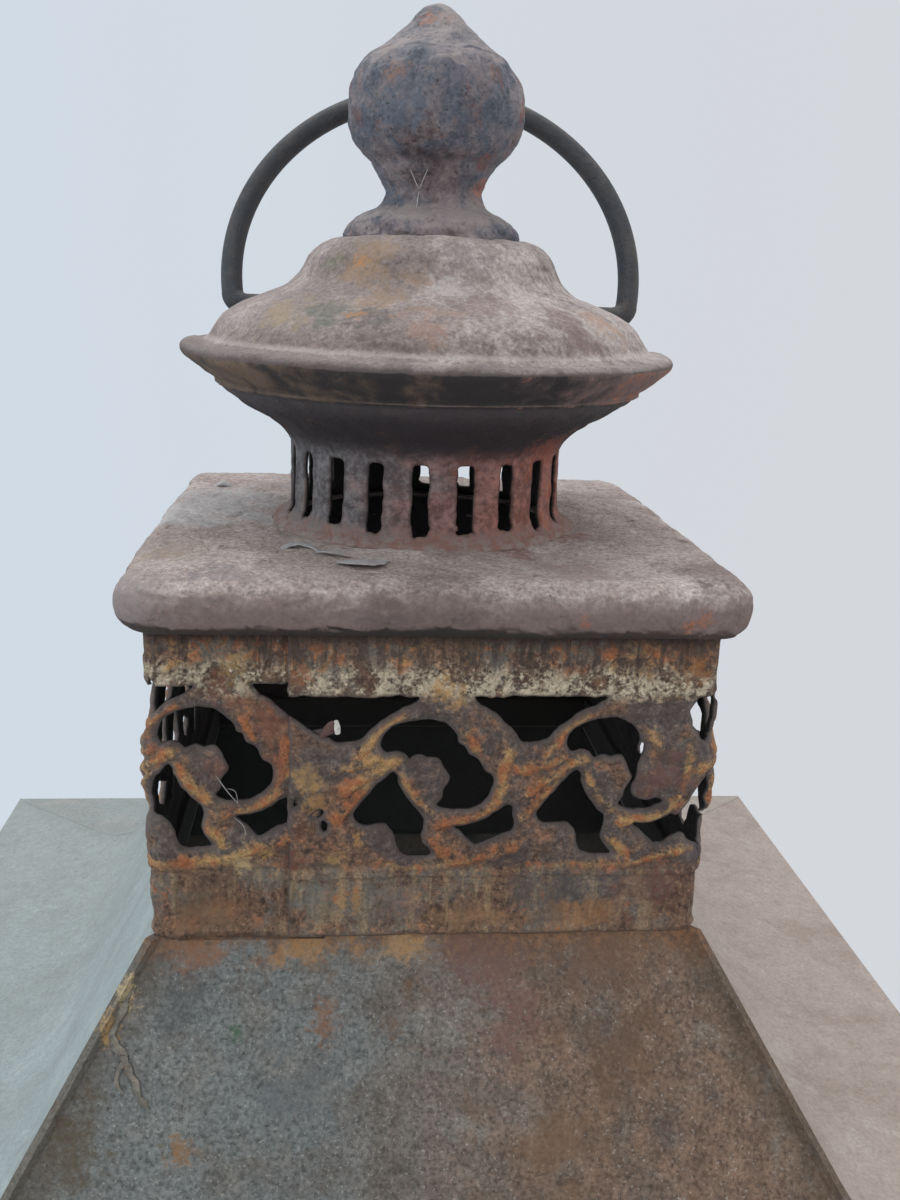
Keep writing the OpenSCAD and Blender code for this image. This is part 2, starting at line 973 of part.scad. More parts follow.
module latch_keeper() {
  front_y = tongue_back - tongue_t - pass_gap - strip_t;
  web_z = latch_z + tongue_w / 2 + 2 * pass_gap;
  color(iron)
    translate([keeper_x, 0, 0]) {
      translate([0, front_y, web_z - 10])
        cube([keeper_w, strip_t, 10 + strip_t]);
      translate([0, front_y, web_z])
        cube([keeper_w, -body_half - front_y, strip_t]);
      translate([0, -body_half - strip_t, web_z])
        cube([keeper_w, strip_t, 12]);
    }
}

// Base
module floor_pan() {
  color(iron)
    difference() {
      translate([-post_inner, -post_inner, floor_z])
        cube([2 * post_inner, 2 * post_inner, sill_top - floor_z]);
      translate([-post_inner + sheet_t, -post_inner + sheet_t, floor_z + sheet_t])
        cube([2 * (post_inner - sheet_t), 2 * (post_inner - sheet_t), sill_top]);
      translate([0, 0, floor_z - past])
        cylinder(h = sheet_t + 2 * past, r = screw_r);
    }
}

module candle_cup() {
  wall = sheet_t;
  color(iron)
    translate([0, 0, floor_z + sheet_t])
      rotate_extrude()
        polygon([
          [screw_r, 0], [cup_r - 8, 0], [cup_r - 3, 2], [cup_r, cup_h], [cup_r + 2, cup_h],
          [cup_r + 2, cup_h + wall], [cup_r - wall, cup_h + wall], [cup_r - 4, 2 + wall],
          [cup_r - 8.6, wall], [screw_r, wall]
        ]);
}

module candle_spike() {
  shank = 2 * sheet_t;
  color(iron)
    translate([0, 0, floor_z]) {
      cylinder(h = shank, r = screw_r);
      translate([0, 0, shank]) {
        cylinder(h = 1.6, r = 6);
        translate([0, 0, 1.6])
          cylinder(h = spike_h, r1 = 2.4, r2 = 0.4);
      }
    }
}

// Solid of the skirt, whose ogee side is moved in by t
module skirt_solid(t) {
  ogee = open_curve([
    [band_half + 0.5, skirt_top], [band_half + 1.5, skirt_top - 5],
    [band_half + 5, skirt_top - 10], [skirt_out - 4, skirt_top - 15],
    [skirt_out - 0.5, skirt_top - 20], [skirt_out, foot_h]
  ], 2);
  face = t == 0 ? ogee : moved(ogee, t);
  trimmed = [for (p = face) [p[0], min(max(p[1], foot_h + t), skirt_top - t)]];
  outline = concat(trimmed, [for (p = reversed(trimmed)) [-p[0], p[1]]]);
  intersection() {
    rotate([90, 0, 0])
      linear_extrude(3 * skirt_out, center = true)
        polygon(outline);
    rotate([90, 0, 90])
      linear_extrude(3 * skirt_out, center = true)
        polygon(outline);
  }
}

module foot_places() {
  for (sx = [-1, 1], sy = [-1, 1])
    translate([sx * foot_at, sy * foot_at, 0])
      children();
}

module base_skirt() {
  color(iron)
    difference() {
      skirt_solid(0);
      skirt_solid(strip_t);
      translate([-skirt_flange_in, -skirt_flange_in, 0])
        cube([2 * skirt_flange_in, 2 * skirt_flange_in, 2 * skirt_top]);
      foot_places()
        cylinder(h = foot_h + 2 * strip_t, r = screw_r);
    }
}

module foot(sx, sy) {
  color(iron)
    translate([sx * foot_at, sy * foot_at, 0])
      rotate_extrude()
        polygon([
          [0, 0], [foot_r - 4, 0], [foot_r - 1, 2], [foot_r, 5], [foot_r - 1.5, 8.5],
          [foot_r - 4, 11], [foot_r - 3.5, foot_h], [screw_r, foot_h], [screw_r, 4], [0, 4]
        ]);
}

module foot_screws() {
  color(iron)
    foot_places() {
      translate([0, 0, 4])
        cylinder(h = foot_h + strip_t - 4, r = screw_r);
      translate([0, 0, foot_h + strip_t])
        cylinder(h = 2.2, r = 4);
    }
}

finial();
finial_stud();
crown_washer();
crown_nut();
dome_cap();
ring_handle();
vent_collar();
top_plate();
pierced_gallery();
roof_panel(0, true);  // roof_panel_front
roof_panel(90, false);  // roof_panel_right
roof_panel(180, true);  // roof_panel_back
roof_panel(270, false);  // roof_panel_left
head_band();
post(-1, -1);  // post_front_left
post(1, -1);  // post_front_right
post(-1, 1);  // post_back_left
post(1, 1);  // post_back_right
sill_band();
frame_rivets();
pane(270);  // pane_left
pane(90);  // pane_right
pane(180);  // pane_back
glass_clips();
door_frame();
door_pane();
door_clips();
post_hinge(hinge_zs[1]);  // post_hinge_upper
post_hinge(hinge_zs[0]);  // post_hinge_lower
door_hinge(hinge_zs[1]);  // door_hinge_upper
door_hinge(hinge_zs[0]);  // door_hinge_lower
hinge_pin(hinge_zs[1]);  // hinge_pin_upper
hinge_pin(hinge_zs[0]);  // hinge_pin_lower
latch_tongue();
latch_knob();
latch_rivet();
latch_keeper();
floor_pan();
candle_cup();
candle_spike();
base_skirt();
foot(-1, -1);  // foot_front_left
foot(1, -1);  // foot_front_right
foot(-1, 1);  // foot_back_left
foot(1, 1);  // foot_back_right
foot_screws();
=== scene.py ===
"""A weathered wrought iron candle lantern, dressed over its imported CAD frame.

Shapes are worked out in millimetres, with heights counted from the top plate's upper face in
the crown and the gallery, and are stored in metres in the frame's own axes: +Z up, -Y front.
"""

from __future__ import annotations

import logging
import math
from dataclasses import dataclass
from enum import Enum
from functools import cache
from typing import Iterable, Sequence, Union

import bpy
import numpy as np
from mathutils import Matrix, Vector


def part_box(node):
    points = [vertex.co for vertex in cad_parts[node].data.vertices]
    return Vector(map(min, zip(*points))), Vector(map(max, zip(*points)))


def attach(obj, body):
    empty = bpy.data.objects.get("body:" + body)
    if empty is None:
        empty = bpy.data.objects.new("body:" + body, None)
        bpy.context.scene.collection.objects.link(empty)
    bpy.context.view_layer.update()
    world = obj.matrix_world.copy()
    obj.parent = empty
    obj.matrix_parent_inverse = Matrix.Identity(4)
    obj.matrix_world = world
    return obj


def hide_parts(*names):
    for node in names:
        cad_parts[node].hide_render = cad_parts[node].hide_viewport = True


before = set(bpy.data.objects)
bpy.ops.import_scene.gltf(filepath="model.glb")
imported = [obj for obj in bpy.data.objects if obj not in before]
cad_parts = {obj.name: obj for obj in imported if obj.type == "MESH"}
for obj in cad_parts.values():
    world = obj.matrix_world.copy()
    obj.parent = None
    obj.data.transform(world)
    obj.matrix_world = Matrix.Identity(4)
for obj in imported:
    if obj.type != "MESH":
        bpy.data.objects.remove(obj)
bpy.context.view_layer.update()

MM = 0.001
INSIDE = -2.0
# Range of the tone mark on a sheet's inner face, which is painted dark as shade.
INNER_FACE_SHADE = (-0.3, -1.2)
PLATE_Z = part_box("top_plate")[1].z / MM
LANTERN = "lantern"

log = logging.getLogger("lantern")

Array = np.ndarray
Colour = tuple[float, float, float]
Point = tuple[float, float]
Place = tuple[float, float, float]
Outline = tuple[Point, ...]

FAR = 99.0
HASH = (73856093, 19349663, 83492791, 40503, 977, 1274126177)


def srgb(red: int, green: int, blue: int) -> Colour:
    """Linear colour of an sRGB colour.

    Args:
        red: Red, from 0 to 255.
        green: Green.
        blue: Blue.

    Returns:
        Linear red, green and blue.
    """
    return tuple(
        c / 12.92 if c <= 0.04045 else ((c + 0.055) / 1.055) ** 2.4
        for c in (red / 255, green / 255, blue / 255)
    )


# Shapes as arrays


def lattice(cells: Array, seed: int) -> Array:
    """Pseudo-random values from -1 to 1 at whole-number points, from a hash of each point.

    Args:
        cells: Whole-number points, shape (..., 3).
        seed: Number that picks the pattern.

    Returns:
        One value a point.
    """
    mixed = cells[..., 0] * HASH[0] ^ cells[..., 1] * HASH[1] ^ cells[..., 2] * HASH[2]
    mixed = mixed ^ (seed * HASH[3] + HASH[4])
    mixed = (mixed ^ (mixed >> 13)) * HASH[5]
    return ((mixed ^ (mixed >> 16)) & 0xFFFF) / 32767.5 - 1.0


def noise(points: Array, cell: float, seed: int) -> Array:
    """Smooth noise: lattice values blended over each cell by 3t^2 - 2t^3.

    Args:
        points: Points in millimetres, shape (..., 3).
        cell: Side of one cell.
        seed: Number that picks the pattern.

    Returns:
        Values from about -1 to 1.
    """
    scaled = points / cell
    base = np.floor(scaled).astype(np.int64)
    part = scaled - base
    share = part * part * (3.0 - 2.0 * part)
    total = np.zeros(points.shape[:-1])
    for corner in range(8):
        step = np.array([corner & 1, corner >> 1 & 1, corner >> 2 & 1])
        weight = np.prod(np.where(step == 1, share, 1.0 - share), axis=-1)
        total += weight * lattice(base + step, seed)
    return total


def rough(points: Array, cell: float, octaves: int, seed: int) -> Array:
    """Sum of noises, each with half the cell and half the height of the one before it."""
    return sum(noise(points, cell / 2**k, seed + k) / 2**k for k in range(octaves))


def ease(value: Array, low: float, high: float) -> Array:
    """Smooth step: 0 below low, 1 above high, 3t^2 - 2t^3 between them."""
    share = np.clip((value - low) / (high - low), 0.0, 1.0)
    return share * share * (3.0 - 2.0 * share)


def hump(value: Array, centre: float, width: float) -> Array:
    """Bell curve exp(-(distance / width)^2) about centre."""
    return np.exp(-(((value - centre) / width) ** 2))


def curve(points: Sequence[Point], steps: int, closed: bool = False) -> Array:
    """Catmull-Rom curve through given points.

    Args:
        points: Points that the curve passes through.
        steps: Number of samples from one point to the next.
        closed: True if the curve runs from the last point back to the first.

    Returns:
        The curve's points, as many columns as the points given.
    """
    p = np.asarray(points, float)
    if closed:
        p = np.vstack([p[-1], p, p[:2]])
    else:
        p = np.vstack([p[0], p, p[-1]])
    a, b, c, d = (p[k : len(p) - 3 + k, None] for k in range(4))
    t = (np.arange(steps) / steps)[None, :, None]
    found = 0.5 * (
        2 * b + (c - a) * t + (2 * a - 5 * b + 4 * c - d) * t**2
        + (3 * b - a - 3 * c + d) * t**3
    )
    found = found.reshape(-1, p.shape[1])
    return found if closed else np.vstack([found, p[-1]])


def distance(x: Array, z: Array, lines: Iterable[Sequence[Point]]) -> Array:
    """Distance |p - a - t(b - a)|, t kept in 0..1, to the nearest run a-b of some curves.

    Args:
        x: First coordinates of the points.
        z: Second coordinates.
        lines: Points of each curve.

    Returns:
        One distance a point.
    """
    far = np.full(x.shape, FAR)
    for line in lines:
        path = curve(line, 3)
        for a, b in zip(path[:-1], path[1:]):
            run = b - a
            t = np.clip(((x - a[0]) * run[0] + (z - a[1]) * run[1]) / (run @ run), 0.0, 1.0)
            far = np.minimum(far, np.hypot(x - a[0] - t * run[0], z - a[1] - t * run[1]))
    return far


def sides(path: Array) -> Array:
    """Unit vectors (y, -x) / |(x, y)| of the path's run (x, y), on its right.

    Args:
        path: Points, shape (n, 2).

    Returns:
        One vector a point.
    """
    run = np.gradient(path, axis=0)
    run /= np.linalg.norm(run, axis=1, keepdims=True)
    return np.stack([run[:, 1], -run[:, 0]], axis=1)


def resample(path: Array, count: int, beside: Array | None = None) -> Array:
    """The path at points spaced evenly along its length.

    Args:
        path: Points, shape (n, columns).
        count: Number of points found.
        beside: Further columns that are carried along with the path.

    Returns:
        The points, with the further columns behind them.
    """
    length = np.r_[0.0, np.cumsum(np.linalg.norm(np.diff(path, axis=0), axis=1))]
    at = np.linspace(0.0, length[-1], count)
    both = path if beside is None else np.hstack([path, beside])
    return np.stack([np.interp(at, length, column) for column in both.T], axis=1)


def around(radius: Array | float, angle: Array, height: Array) -> Array:
    """Points (r cos a, r sin a, h) about the upright axis."""
    return np.stack([radius * np.cos(angle), radius * np.sin(angle), height + 0 * angle], -1)


def grid_triangles(index: Array) -> Array:
    """Two triangles a cell of a grid of vertex numbers, without those that have no area.

    Args:
        index: Vertex numbers, shape (rows, columns), repeated where the surface closes.

    Returns:
        Triangles, shape (n, 3).
    """
    a, b, c, d = index[:-1, :-1], index[1:, :-1], index[1:, 1:], index[:-1, 1:]
    found = np.concatenate([
        np.stack([a, b, c], -1).reshape(-1, 3), np.stack([a, c, d], -1).reshape(-1, 3)
    ])
    p, q, r = found.T
    return found[(p != q) & (q != r) & (r != p)]


def wrap(rows: int, columns: int, loop: bool) -> Array:
    """Vertex numbers of a grid that closes round its columns.

    Args:
        rows: Number of rows.
        columns: Number of vertices round.
        loop: True if the last row joins the first, False if both are poles of one point.

    Returns:
        Vertex numbers with the closing rows and columns repeated.
    """
    index = np.arange(rows * columns).reshape(rows, columns)
    if not loop:
        index[0] = index[0, 0]
        index[-1] = index[-1, 0]
    index = np.hstack([index, index[:, :1]])
    return np.vstack([index, index[:1]]) if loop else index


def outward(points: Array, triangles: Array) -> Array:
    """Turns a closed shell so that its volume, sum a.(b x c) / 6, is positive.

    Args:
        points: Vertices.
        triangles: Vertex numbers.

    Returns:
        The triangles, as given or each turned over.
    """
    a, b, c = (points[triangles[:, k]] for k in range(3))
    volume = np.einsum("ij,ij->i", a, np.cross(b, c)).sum()
    return triangles if volume > 0 else triangles[:, ::-1]


def store(
    name: str,
    points: Array,
    triangles: Array,
    finish: Finish,
    stands_for: Iterable[str] = (),
    marks: dict[str, Array] | None = None,
    body: str = LANTERN,
) -> bpy.types.Object:
    """Stores a closed shell as a smooth piece of the lantern.

    Args:
        name: Name of the piece.
        points: Vertices in millimetres, heights from the plate's upper face, shape (n, 3).
        triangles: Vertex numbers, shape (m, 3).
        finish: The piece's finish.
        stands_for: CAD nodes that the piece stands for.
        marks: Numbers a vertex that the finish reads, by name.
        body: CAD body that carries the piece.

    Returns:
        The new object.
    """
    used = np.zeros(len(points), bool)
    used[triangles] = True
    number = np.cumsum(used) - 1
    place = (points[used] + (0.0, 0.0, PLATE_Z)) * MM
    faces = outward(points[used], number[triangles])
    mesh = bpy.data.meshes.new(name)
    mesh.from_pydata(place, [], faces)
    mesh.polygons.foreach_set("use_smooth", np.ones(len(mesh.polygons), bool))
    for title, values in (marks or {}).items():
        layer = mesh.attributes.new(title, "FLOAT", "POINT")
        layer.data.foreach_set("value", values[used].astype(np.float32))
    mesh.update()
    piece = bpy.data.objects.new(name, mesh)
    bpy.context.scene.collection.objects.link(piece)
    mesh.materials.append(finish.material())
    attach(piece, body)
    if stands_for:
        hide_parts(*stands_for)
    log.info("%s: %d triangles", name, len(faces))
    return piece


def store_rows(
    name: str, grid: Array, finish: Finish, stands_for: str, loop: bool
) -> None:
    """Stores a surface of closed rows.

    Args:
        name: Name of the piece.
        grid: Vertices, shape (rows, columns, 3).
        finish: The piece's finish.
        stands_for: CAD node that the piece stands for.
        loop: True if the last row joins the first, False if both are poles of one point.
    """
    index = wrap(*grid.shape[:2], loop)
    store(name, grid.reshape(-1, 3), grid_triangles(index), finish, (stands_for,))


# Shader expressions


class Wire:
    """A node's output on which sums, products and steps are written as expressions."""

    def __init__(self, bench: Bench, socket: bpy.types.NodeSocket) -> None:
        """Keeps the socket and the bench that adds its nodes."""
        self.bench = bench
        self.socket = socket

    def _maths(self, operation: str, first: Number, second: Number = 0.0) -> Wire:
        """One Math node of the operation named, on first and second."""
        return self.bench.add("ShaderNodeMath", {0: first, 1: second}, operation=operation)

    def __add__(self, other: Number) -> Wire:
        """self + other."""
        return self._maths("ADD", self, other)

    def __radd__(self, other: Number) -> Wire:
        """other + self."""
        return self._maths("ADD", other, self)

    def __sub__(self, other: Number) -> Wire:
        """self - other."""
        return self._maths("SUBTRACT", self, other)

    def __rsub__(self, other: Number) -> Wire:
        """other - self."""
        return self._maths("SUBTRACT", other, self)

    def __mul__(self, other: Number) -> Wire:
        """self times other."""
        return self._maths("MULTIPLY", self, other)

    def __truediv__(self, other: Number) -> Wire:
        """self over other."""
        return self._maths("DIVIDE", self, other)

    def __neg__(self) -> Wire:
        """The value with its sign changed."""
        return self._maths("MULTIPLY", self, -1.0)

    def most(self, other: Number) -> Wire:
        """The larger of the two values."""
        return self._maths("MAXIMUM", self, other)

    def root(self) -> Wire:
        """Square root of the value."""
        return self._maths("SQRT", self)

    def ease(self, low: float, high: float) -> Wire:
        """Smooth step from 0 at low to 1 at high; low may be above high."""
        sockets = {0: self, 1: low, 2: high, 3: 0.0, 4: 1.0}
        return self.bench.add("ShaderNodeMapRange", sockets, interpolation_type="SMOOTHSTEP")


Number = Union[float, Wire]
Tint = Union[Colour, Wire]

EVEN = (1.0, 1.0, 1.0)
SEED_STEP = (137.0, 59.0, -83.0)


class Bench:
    """The node tree of one finish, with one method that adds any node."""

    def __init__(self, tree: bpy.types.NodeTree) -> None:
        """Empties the tree that the nodes go into."""
        self.tree = tree
        tree.nodes.clear()

    def add(
        self, kind: str, inputs: dict, output: int | str = 0, **settings: str
    ) -> Wire:
        """Adds a node.

        Args:
            kind: The node's type.
            inputs: Value or wire of each socket, by number or name.
            output: Number or name of the output returned.
            settings: Its own settings, set before its sockets.

        Returns:
            That output, or a last node's first input.
        """
        node = self.tree.nodes.new(kind)
        for key, value in settings.items():
            setattr(node, key, value)
        for key, value in inputs.items():
            socket = node.inputs[key]
            if isinstance(value, Wire):
                self.tree.links.new(value.socket, socket)
            elif isinstance(value, tuple) and socket.type == "RGBA":
                socket.default_value = (*value[:3], 1.0)
            else:
                socket.default_value = value
        return Wire(self, node.outputs[output] if len(node.outputs) else node.inputs[0])

    def vector(self, operation: str, inputs: dict, output: int | str = 0) -> Wire:
        """One Vector Math node of the operation named."""
        return self.add("ShaderNodeVectorMath", inputs, output, operation=operation)

    @cache
    def place(self) -> Wire:
        """Place on the object in millimetres, heights from the floor."""
        spot = self.add("ShaderNodeTexCoord", {}, "Object")
        return self.vector("SCALE", {0: spot, "Scale": 1.0 / MM})

    @cache
    def axis(self, number: int) -> Wire:
        """X, Y or Z of the place; Z is counted from the plate's upper face."""
        part = self.add("ShaderNodeSeparateXYZ", {0: self.place()}, number)
        return part - PLATE_Z if number == 2 else part

    @cache
    def facing(self, number: int) -> Wire:
        """X, Y or Z of the surface's own direction, from -1 to 1."""
        normal = self.add("ShaderNodeTexCoord", {}, "Normal")
        return self.add("ShaderNodeSeparateXYZ", {0: normal}, number)

    def shifted(self, seed: float, stretch: Place) -> Wire:
        """Place moved by a seed and stretched, for a pattern of its own.

        Args:
            seed: Number that moves it.
            stretch: Factor on each axis.

        Returns:
            The place as a vector.
        """
        spot = self.place()
        if stretch != EVEN:
            spot = self.vector("MULTIPLY", {0: spot, 1: stretch})
        return self.vector("ADD", {0: spot, 1: tuple(seed * step for step in SEED_STEP)})

    def grain(
        self,
        size: float,
        seed: float,
        detail: float = 4.0,
        roughness: float = 0.6,
        warp: float = 0.0,
        stretch: Place = EVEN,
    ) -> Wire:
        """Noise around 0.5 whose marks are about size millimetres wide.

        Args:
            size: Width of the largest marks.
            seed: Number that picks the pattern.
            detail: Number of finer layers.
            roughness: Height of each layer against the one before it.
            warp: Amount by which the marks are twisted.
            stretch: Factor on each axis, small where the marks are drawn out.

        Returns:
            The noise.
        """
        sockets = {
            "Vector": self.shifted(seed, stretch), "Scale": 1.0 / size, "Detail": detail,
            "Roughness": roughness, "Distortion": warp,
        }
        return self.add("ShaderNodeTexNoise", sockets)

    def patch(self, centre: Place, radius: float, seed: float, tall: float = 1.0) -> Wire:
        """Ragged round or tall patch.

        Args:
            centre: Its middle, counted from the plate's upper face.
            radius: Its reach across.
            seed: Number that picks its outline.
            tall: Its height over its width.

        Returns:
            1 near the middle, 0 outside.
        """
        middle = (centre[0], centre[1], (centre[2] + PLATE_Z) / tall)
        place = self.vector("MULTIPLY", {0: self.place(), 1: (1.0, 1.0, 1.0 / tall)})
        far = self.vector("DISTANCE", {0: place, 1: middle}, "Value")
        ragged = far + (self.grain(radius * 0.6, seed, 6.0, 0.72) - 0.5) * (radius * 4.2)
        return ragged.ease(radius * 1.05, radius * 0.3)

    def mix(self, first: Tint, second: Tint, share: Number) -> Wire:
        """Colour that runs from first to second."""
        return self.add("ShaderNodeMix", {0: share, 6: first, 7: second}, 2, data_type="RGBA")

    def shade(self, colour: Tint, factor: Wire) -> Wire:
        """Colour times a number."""
        grey = self.add("ShaderNodeCombineXYZ", {0: factor, 1: factor, 2: factor})
        return self.vector("MULTIPLY", {0: colour, 1: grey})

    def shader(self, colour: Tint, gloss: Number, **more: Number | Wire) -> Wire:
        """Adds a Principled shader.

        Args:
            colour: Base colour.
            gloss: Roughness.
            more: Further sockets, with _ for each space in their names.

        Returns:
            The shader.
        """
        sockets = {title.replace("_", " "): value for title, value in more.items()}
        return self.add(
            "ShaderNodeBsdfPrincipled", {"Base Color": colour, "Roughness": gloss, **sockets}
        )

    def mark(self, title: str) -> Wire:
        """The piece's own attribute of that name."""
        return self.add("ShaderNodeAttribute", {}, "Fac", attribute_name=title)


@dataclass
class Skin:
    """What a finish says of a surface: colour, roughness and relief."""

    colour: Wire
    gloss: Number
    height: Wire
    depth: float


@dataclass(frozen=True)
class Finish:
    """A finish of the lantern, named after where it is found."""

    name: str

    def skin(self, bench: Bench) -> Skin:
        """Colour, roughness and relief of the surface, given by each finish."""
        raise NotImplementedError(f"{self.name} has no skin on {bench.tree.name}")

    def surface(self, bench: Bench) -> Wire:
        """Shader of the skin, its relief as bump.

        Args:
            bench: Node tree of the material.

        Returns:
            The shader.
        """
        skin = self.skin(bench)
        relief = {"Strength": 1.0, "Distance": skin.depth * MM, "Height": skin.height}
        bump = bench.add("ShaderNodeBump", relief)
        return bench.shader(skin.colour, skin.gloss, Normal=bump)

    def material(self) -> bpy.types.Material:
        """Makes the finish's material, or finds it when it is made already.

        Returns:
            The material.
        """
        made = bpy.data.materials.get(self.name)
        if made is None:
            made = bpy.data.materials.new(self.name)
            made.use_nodes = True
            bench = Bench(made.node_tree)
            bench.add("ShaderNodeOutputMaterial", {"Surface": self.surface(bench)})
        return made


# Finishes

DUST = srgb(150, 141, 138)
PALE_DUST = srgb(172, 164, 161)
UMBER = srgb(92, 72, 62)
# Dark soot colour, also used as painted shade on undersides.
SOOT_AND_SHADE = srgb(46, 41, 42)
SLATE = srgb(88, 93, 101)
RED_RUST = srgb(112, 62, 50)


@dataclass(frozen=True)
class Stain:
    """A ragged patch, its centre counted from the plate's upper face, its colour in sRGB."""

    centre: Place
    radius: float
    colour: tuple[int, int, int]
    share: float = 0.8
    tall: float = 1.0


def stained(bench: Bench, colour: Wire, stains: Sequence[Stain]) -> Wire:
    """Lays stains over a colour, one after the other.

    Args:
        bench: Node tree of the material.
        colour: Colour below them.
        stains: The stains.

    Returns:
        The stained colour.
    """
    grains = bench.grain(1.3, 77.0, 4.0, 0.72).ease(0.34, 0.6) * 0.6 + 0.4
    for number, stain in enumerate(stains):
        mask = bench.patch(stain.centre, stain.radius, 31.0 + 1.7 * number, stain.tall)
        colour = bench.mix(colour, srgb(*stain.colour), mask * grains * stain.share)
    return colour


@dataclass(frozen=True)
class CrownDust(Finish):
    """Grey paint under settled dust, rusty in patches, with painted shade on its undersides.

    Heights of the rim and of the trough above it are counted from the plate. A face whose
    upward direction is below turn is an underside, with painted shade and rust of share runs.
    """

    name: str
    pale: Colour = PALE_DUST
    dust: Colour = DUST
    bare: Colour = UMBER
    caught: Colour = srgb(184, 175, 172)
    # Painted shade on faces that look down; the colours after it are rust there.
    under: Colour = SOOT_AND_SHADE
    under_pink: Colour = srgb(132, 108, 104)
    under_ochre: Colour = srgb(118, 98, 80)
    under_orange: Colour = srgb(164, 104, 72)
    seed: float = 1.0
    rim_low: float = -1.0
    rim_high: float = 0.0
    rim: Colour = UMBER
    trough: float = -999.0
    grit: float = 0.5
    crust: float = 0.5
    runs: float = 0.6
    lean: float = 0.0
    turn: float = -0.05
    depth: float = 0.5
    stains: tuple[Stain, ...] = ()

    def skin(self, bench: Bench) -> Skin:
        """Dust where the face looks up, bare paint beside it, painted shade and rust below.

        Args:
            bench: Node tree of the material.

        Returns:
            Its colour, roughness and relief.
        """
        up, x, z = bench.facing(2), bench.axis(0), bench.axis(2)
        blotch = bench.grain(24.0, self.seed, 4.0, 0.6, 0.5)
        patch = bench.grain(7.0, self.seed + 7, 5.0, 0.66, 0.4)
        speck = bench.grain(1.7, self.seed + 1, 5.0, 0.72)
        fine = bench.grain(0.9, self.seed + 2, 2.0, 0.6)
        cover = up + (blotch - 0.5) * 1.0 + (patch - 0.5) * 0.5 + (speck - 0.5) * 0.5
        settled = cover.ease(-0.1, 0.8)
        bare = bench.mix(self.bare, SLATE, bench.grain(9.0, self.seed + 3).ease(0.5, 0.72) * 0.5)
        # x * lean adds pale dust towards +x: painted light on the side that the light falls on.
        thick = patch * 0.5 + blotch * 0.7 + speck * 0.3 + x * self.lean
        dusty = bench.mix(self.dust, self.pale, thick.ease(0.66, 0.92))
        colour = bench.mix(bare, dusty, 0.12 + settled * 0.88)
        worn = (patch + speck * 0.5).ease(0.84, 1.0)
        colour = bench.mix(colour, self.bare, worn * self.crust)
        level = (fine - 0.5) * 1.6 + (speck - 0.5) * 1.3 + (blotch - 0.5) * 0.7
        colour = bench.shade(colour, 1.0 + level * self.grit)
        rim = z + (patch - 0.5) * 3.0
        band = rim.ease(self.rim_low - 1.2, self.rim_low + 0.6) * rim.ease(
            self.rim_high + 0.9, self.rim_high - 0.9
        )
        edge = bench.shade(self.rim, 0.45 + patch * 0.5 + speck * 0.6)
        colour = bench.mix(colour, edge, band * (1.0 - settled * 0.3) * 0.8)
        over = z - self.trough
        line = (over + (speck - 0.5) * 0.8).ease(-0.5, 0.1) * over.ease(1.5, 0.4)
        colour = bench.mix(colour, self.caught, line * up.ease(0.3, 0.8) * 0.5)
        colour = stained(bench, colour, self.stains)
        # Painted shade: faces that look down are painted dark, with rust patches over it.
        below = up.ease(self.turn, self.turn - 0.25)
        ochre = (blotch * 0.5 + patch * 0.5 + x * -0.0034).ease(0.52, 0.72)
        orange = (blotch * 0.4 + patch * 0.6 + x * 0.0026 + (speck - 0.5) * 0.3).ease(0.62, 0.74)
        pink = (x * 0.012 + (patch - 0.5)).ease(0.2, 0.6)
        dark = bench.mix(self.under, self.under_pink, pink * self.runs)
        dark = bench.mix(dark, self.under_ochre, ochre * self.runs)
        dark = bench.mix(dark, self.under_orange, orange * self.runs)
        colour = bench.mix(colour, bench.shade(dark, 0.7 + speck * 0.6), below)
        height = speck * 0.5 + fine * 0.35 + worn * 0.25
        return Skin(colour, 0.88 + fine * 0.08, height, self.depth)


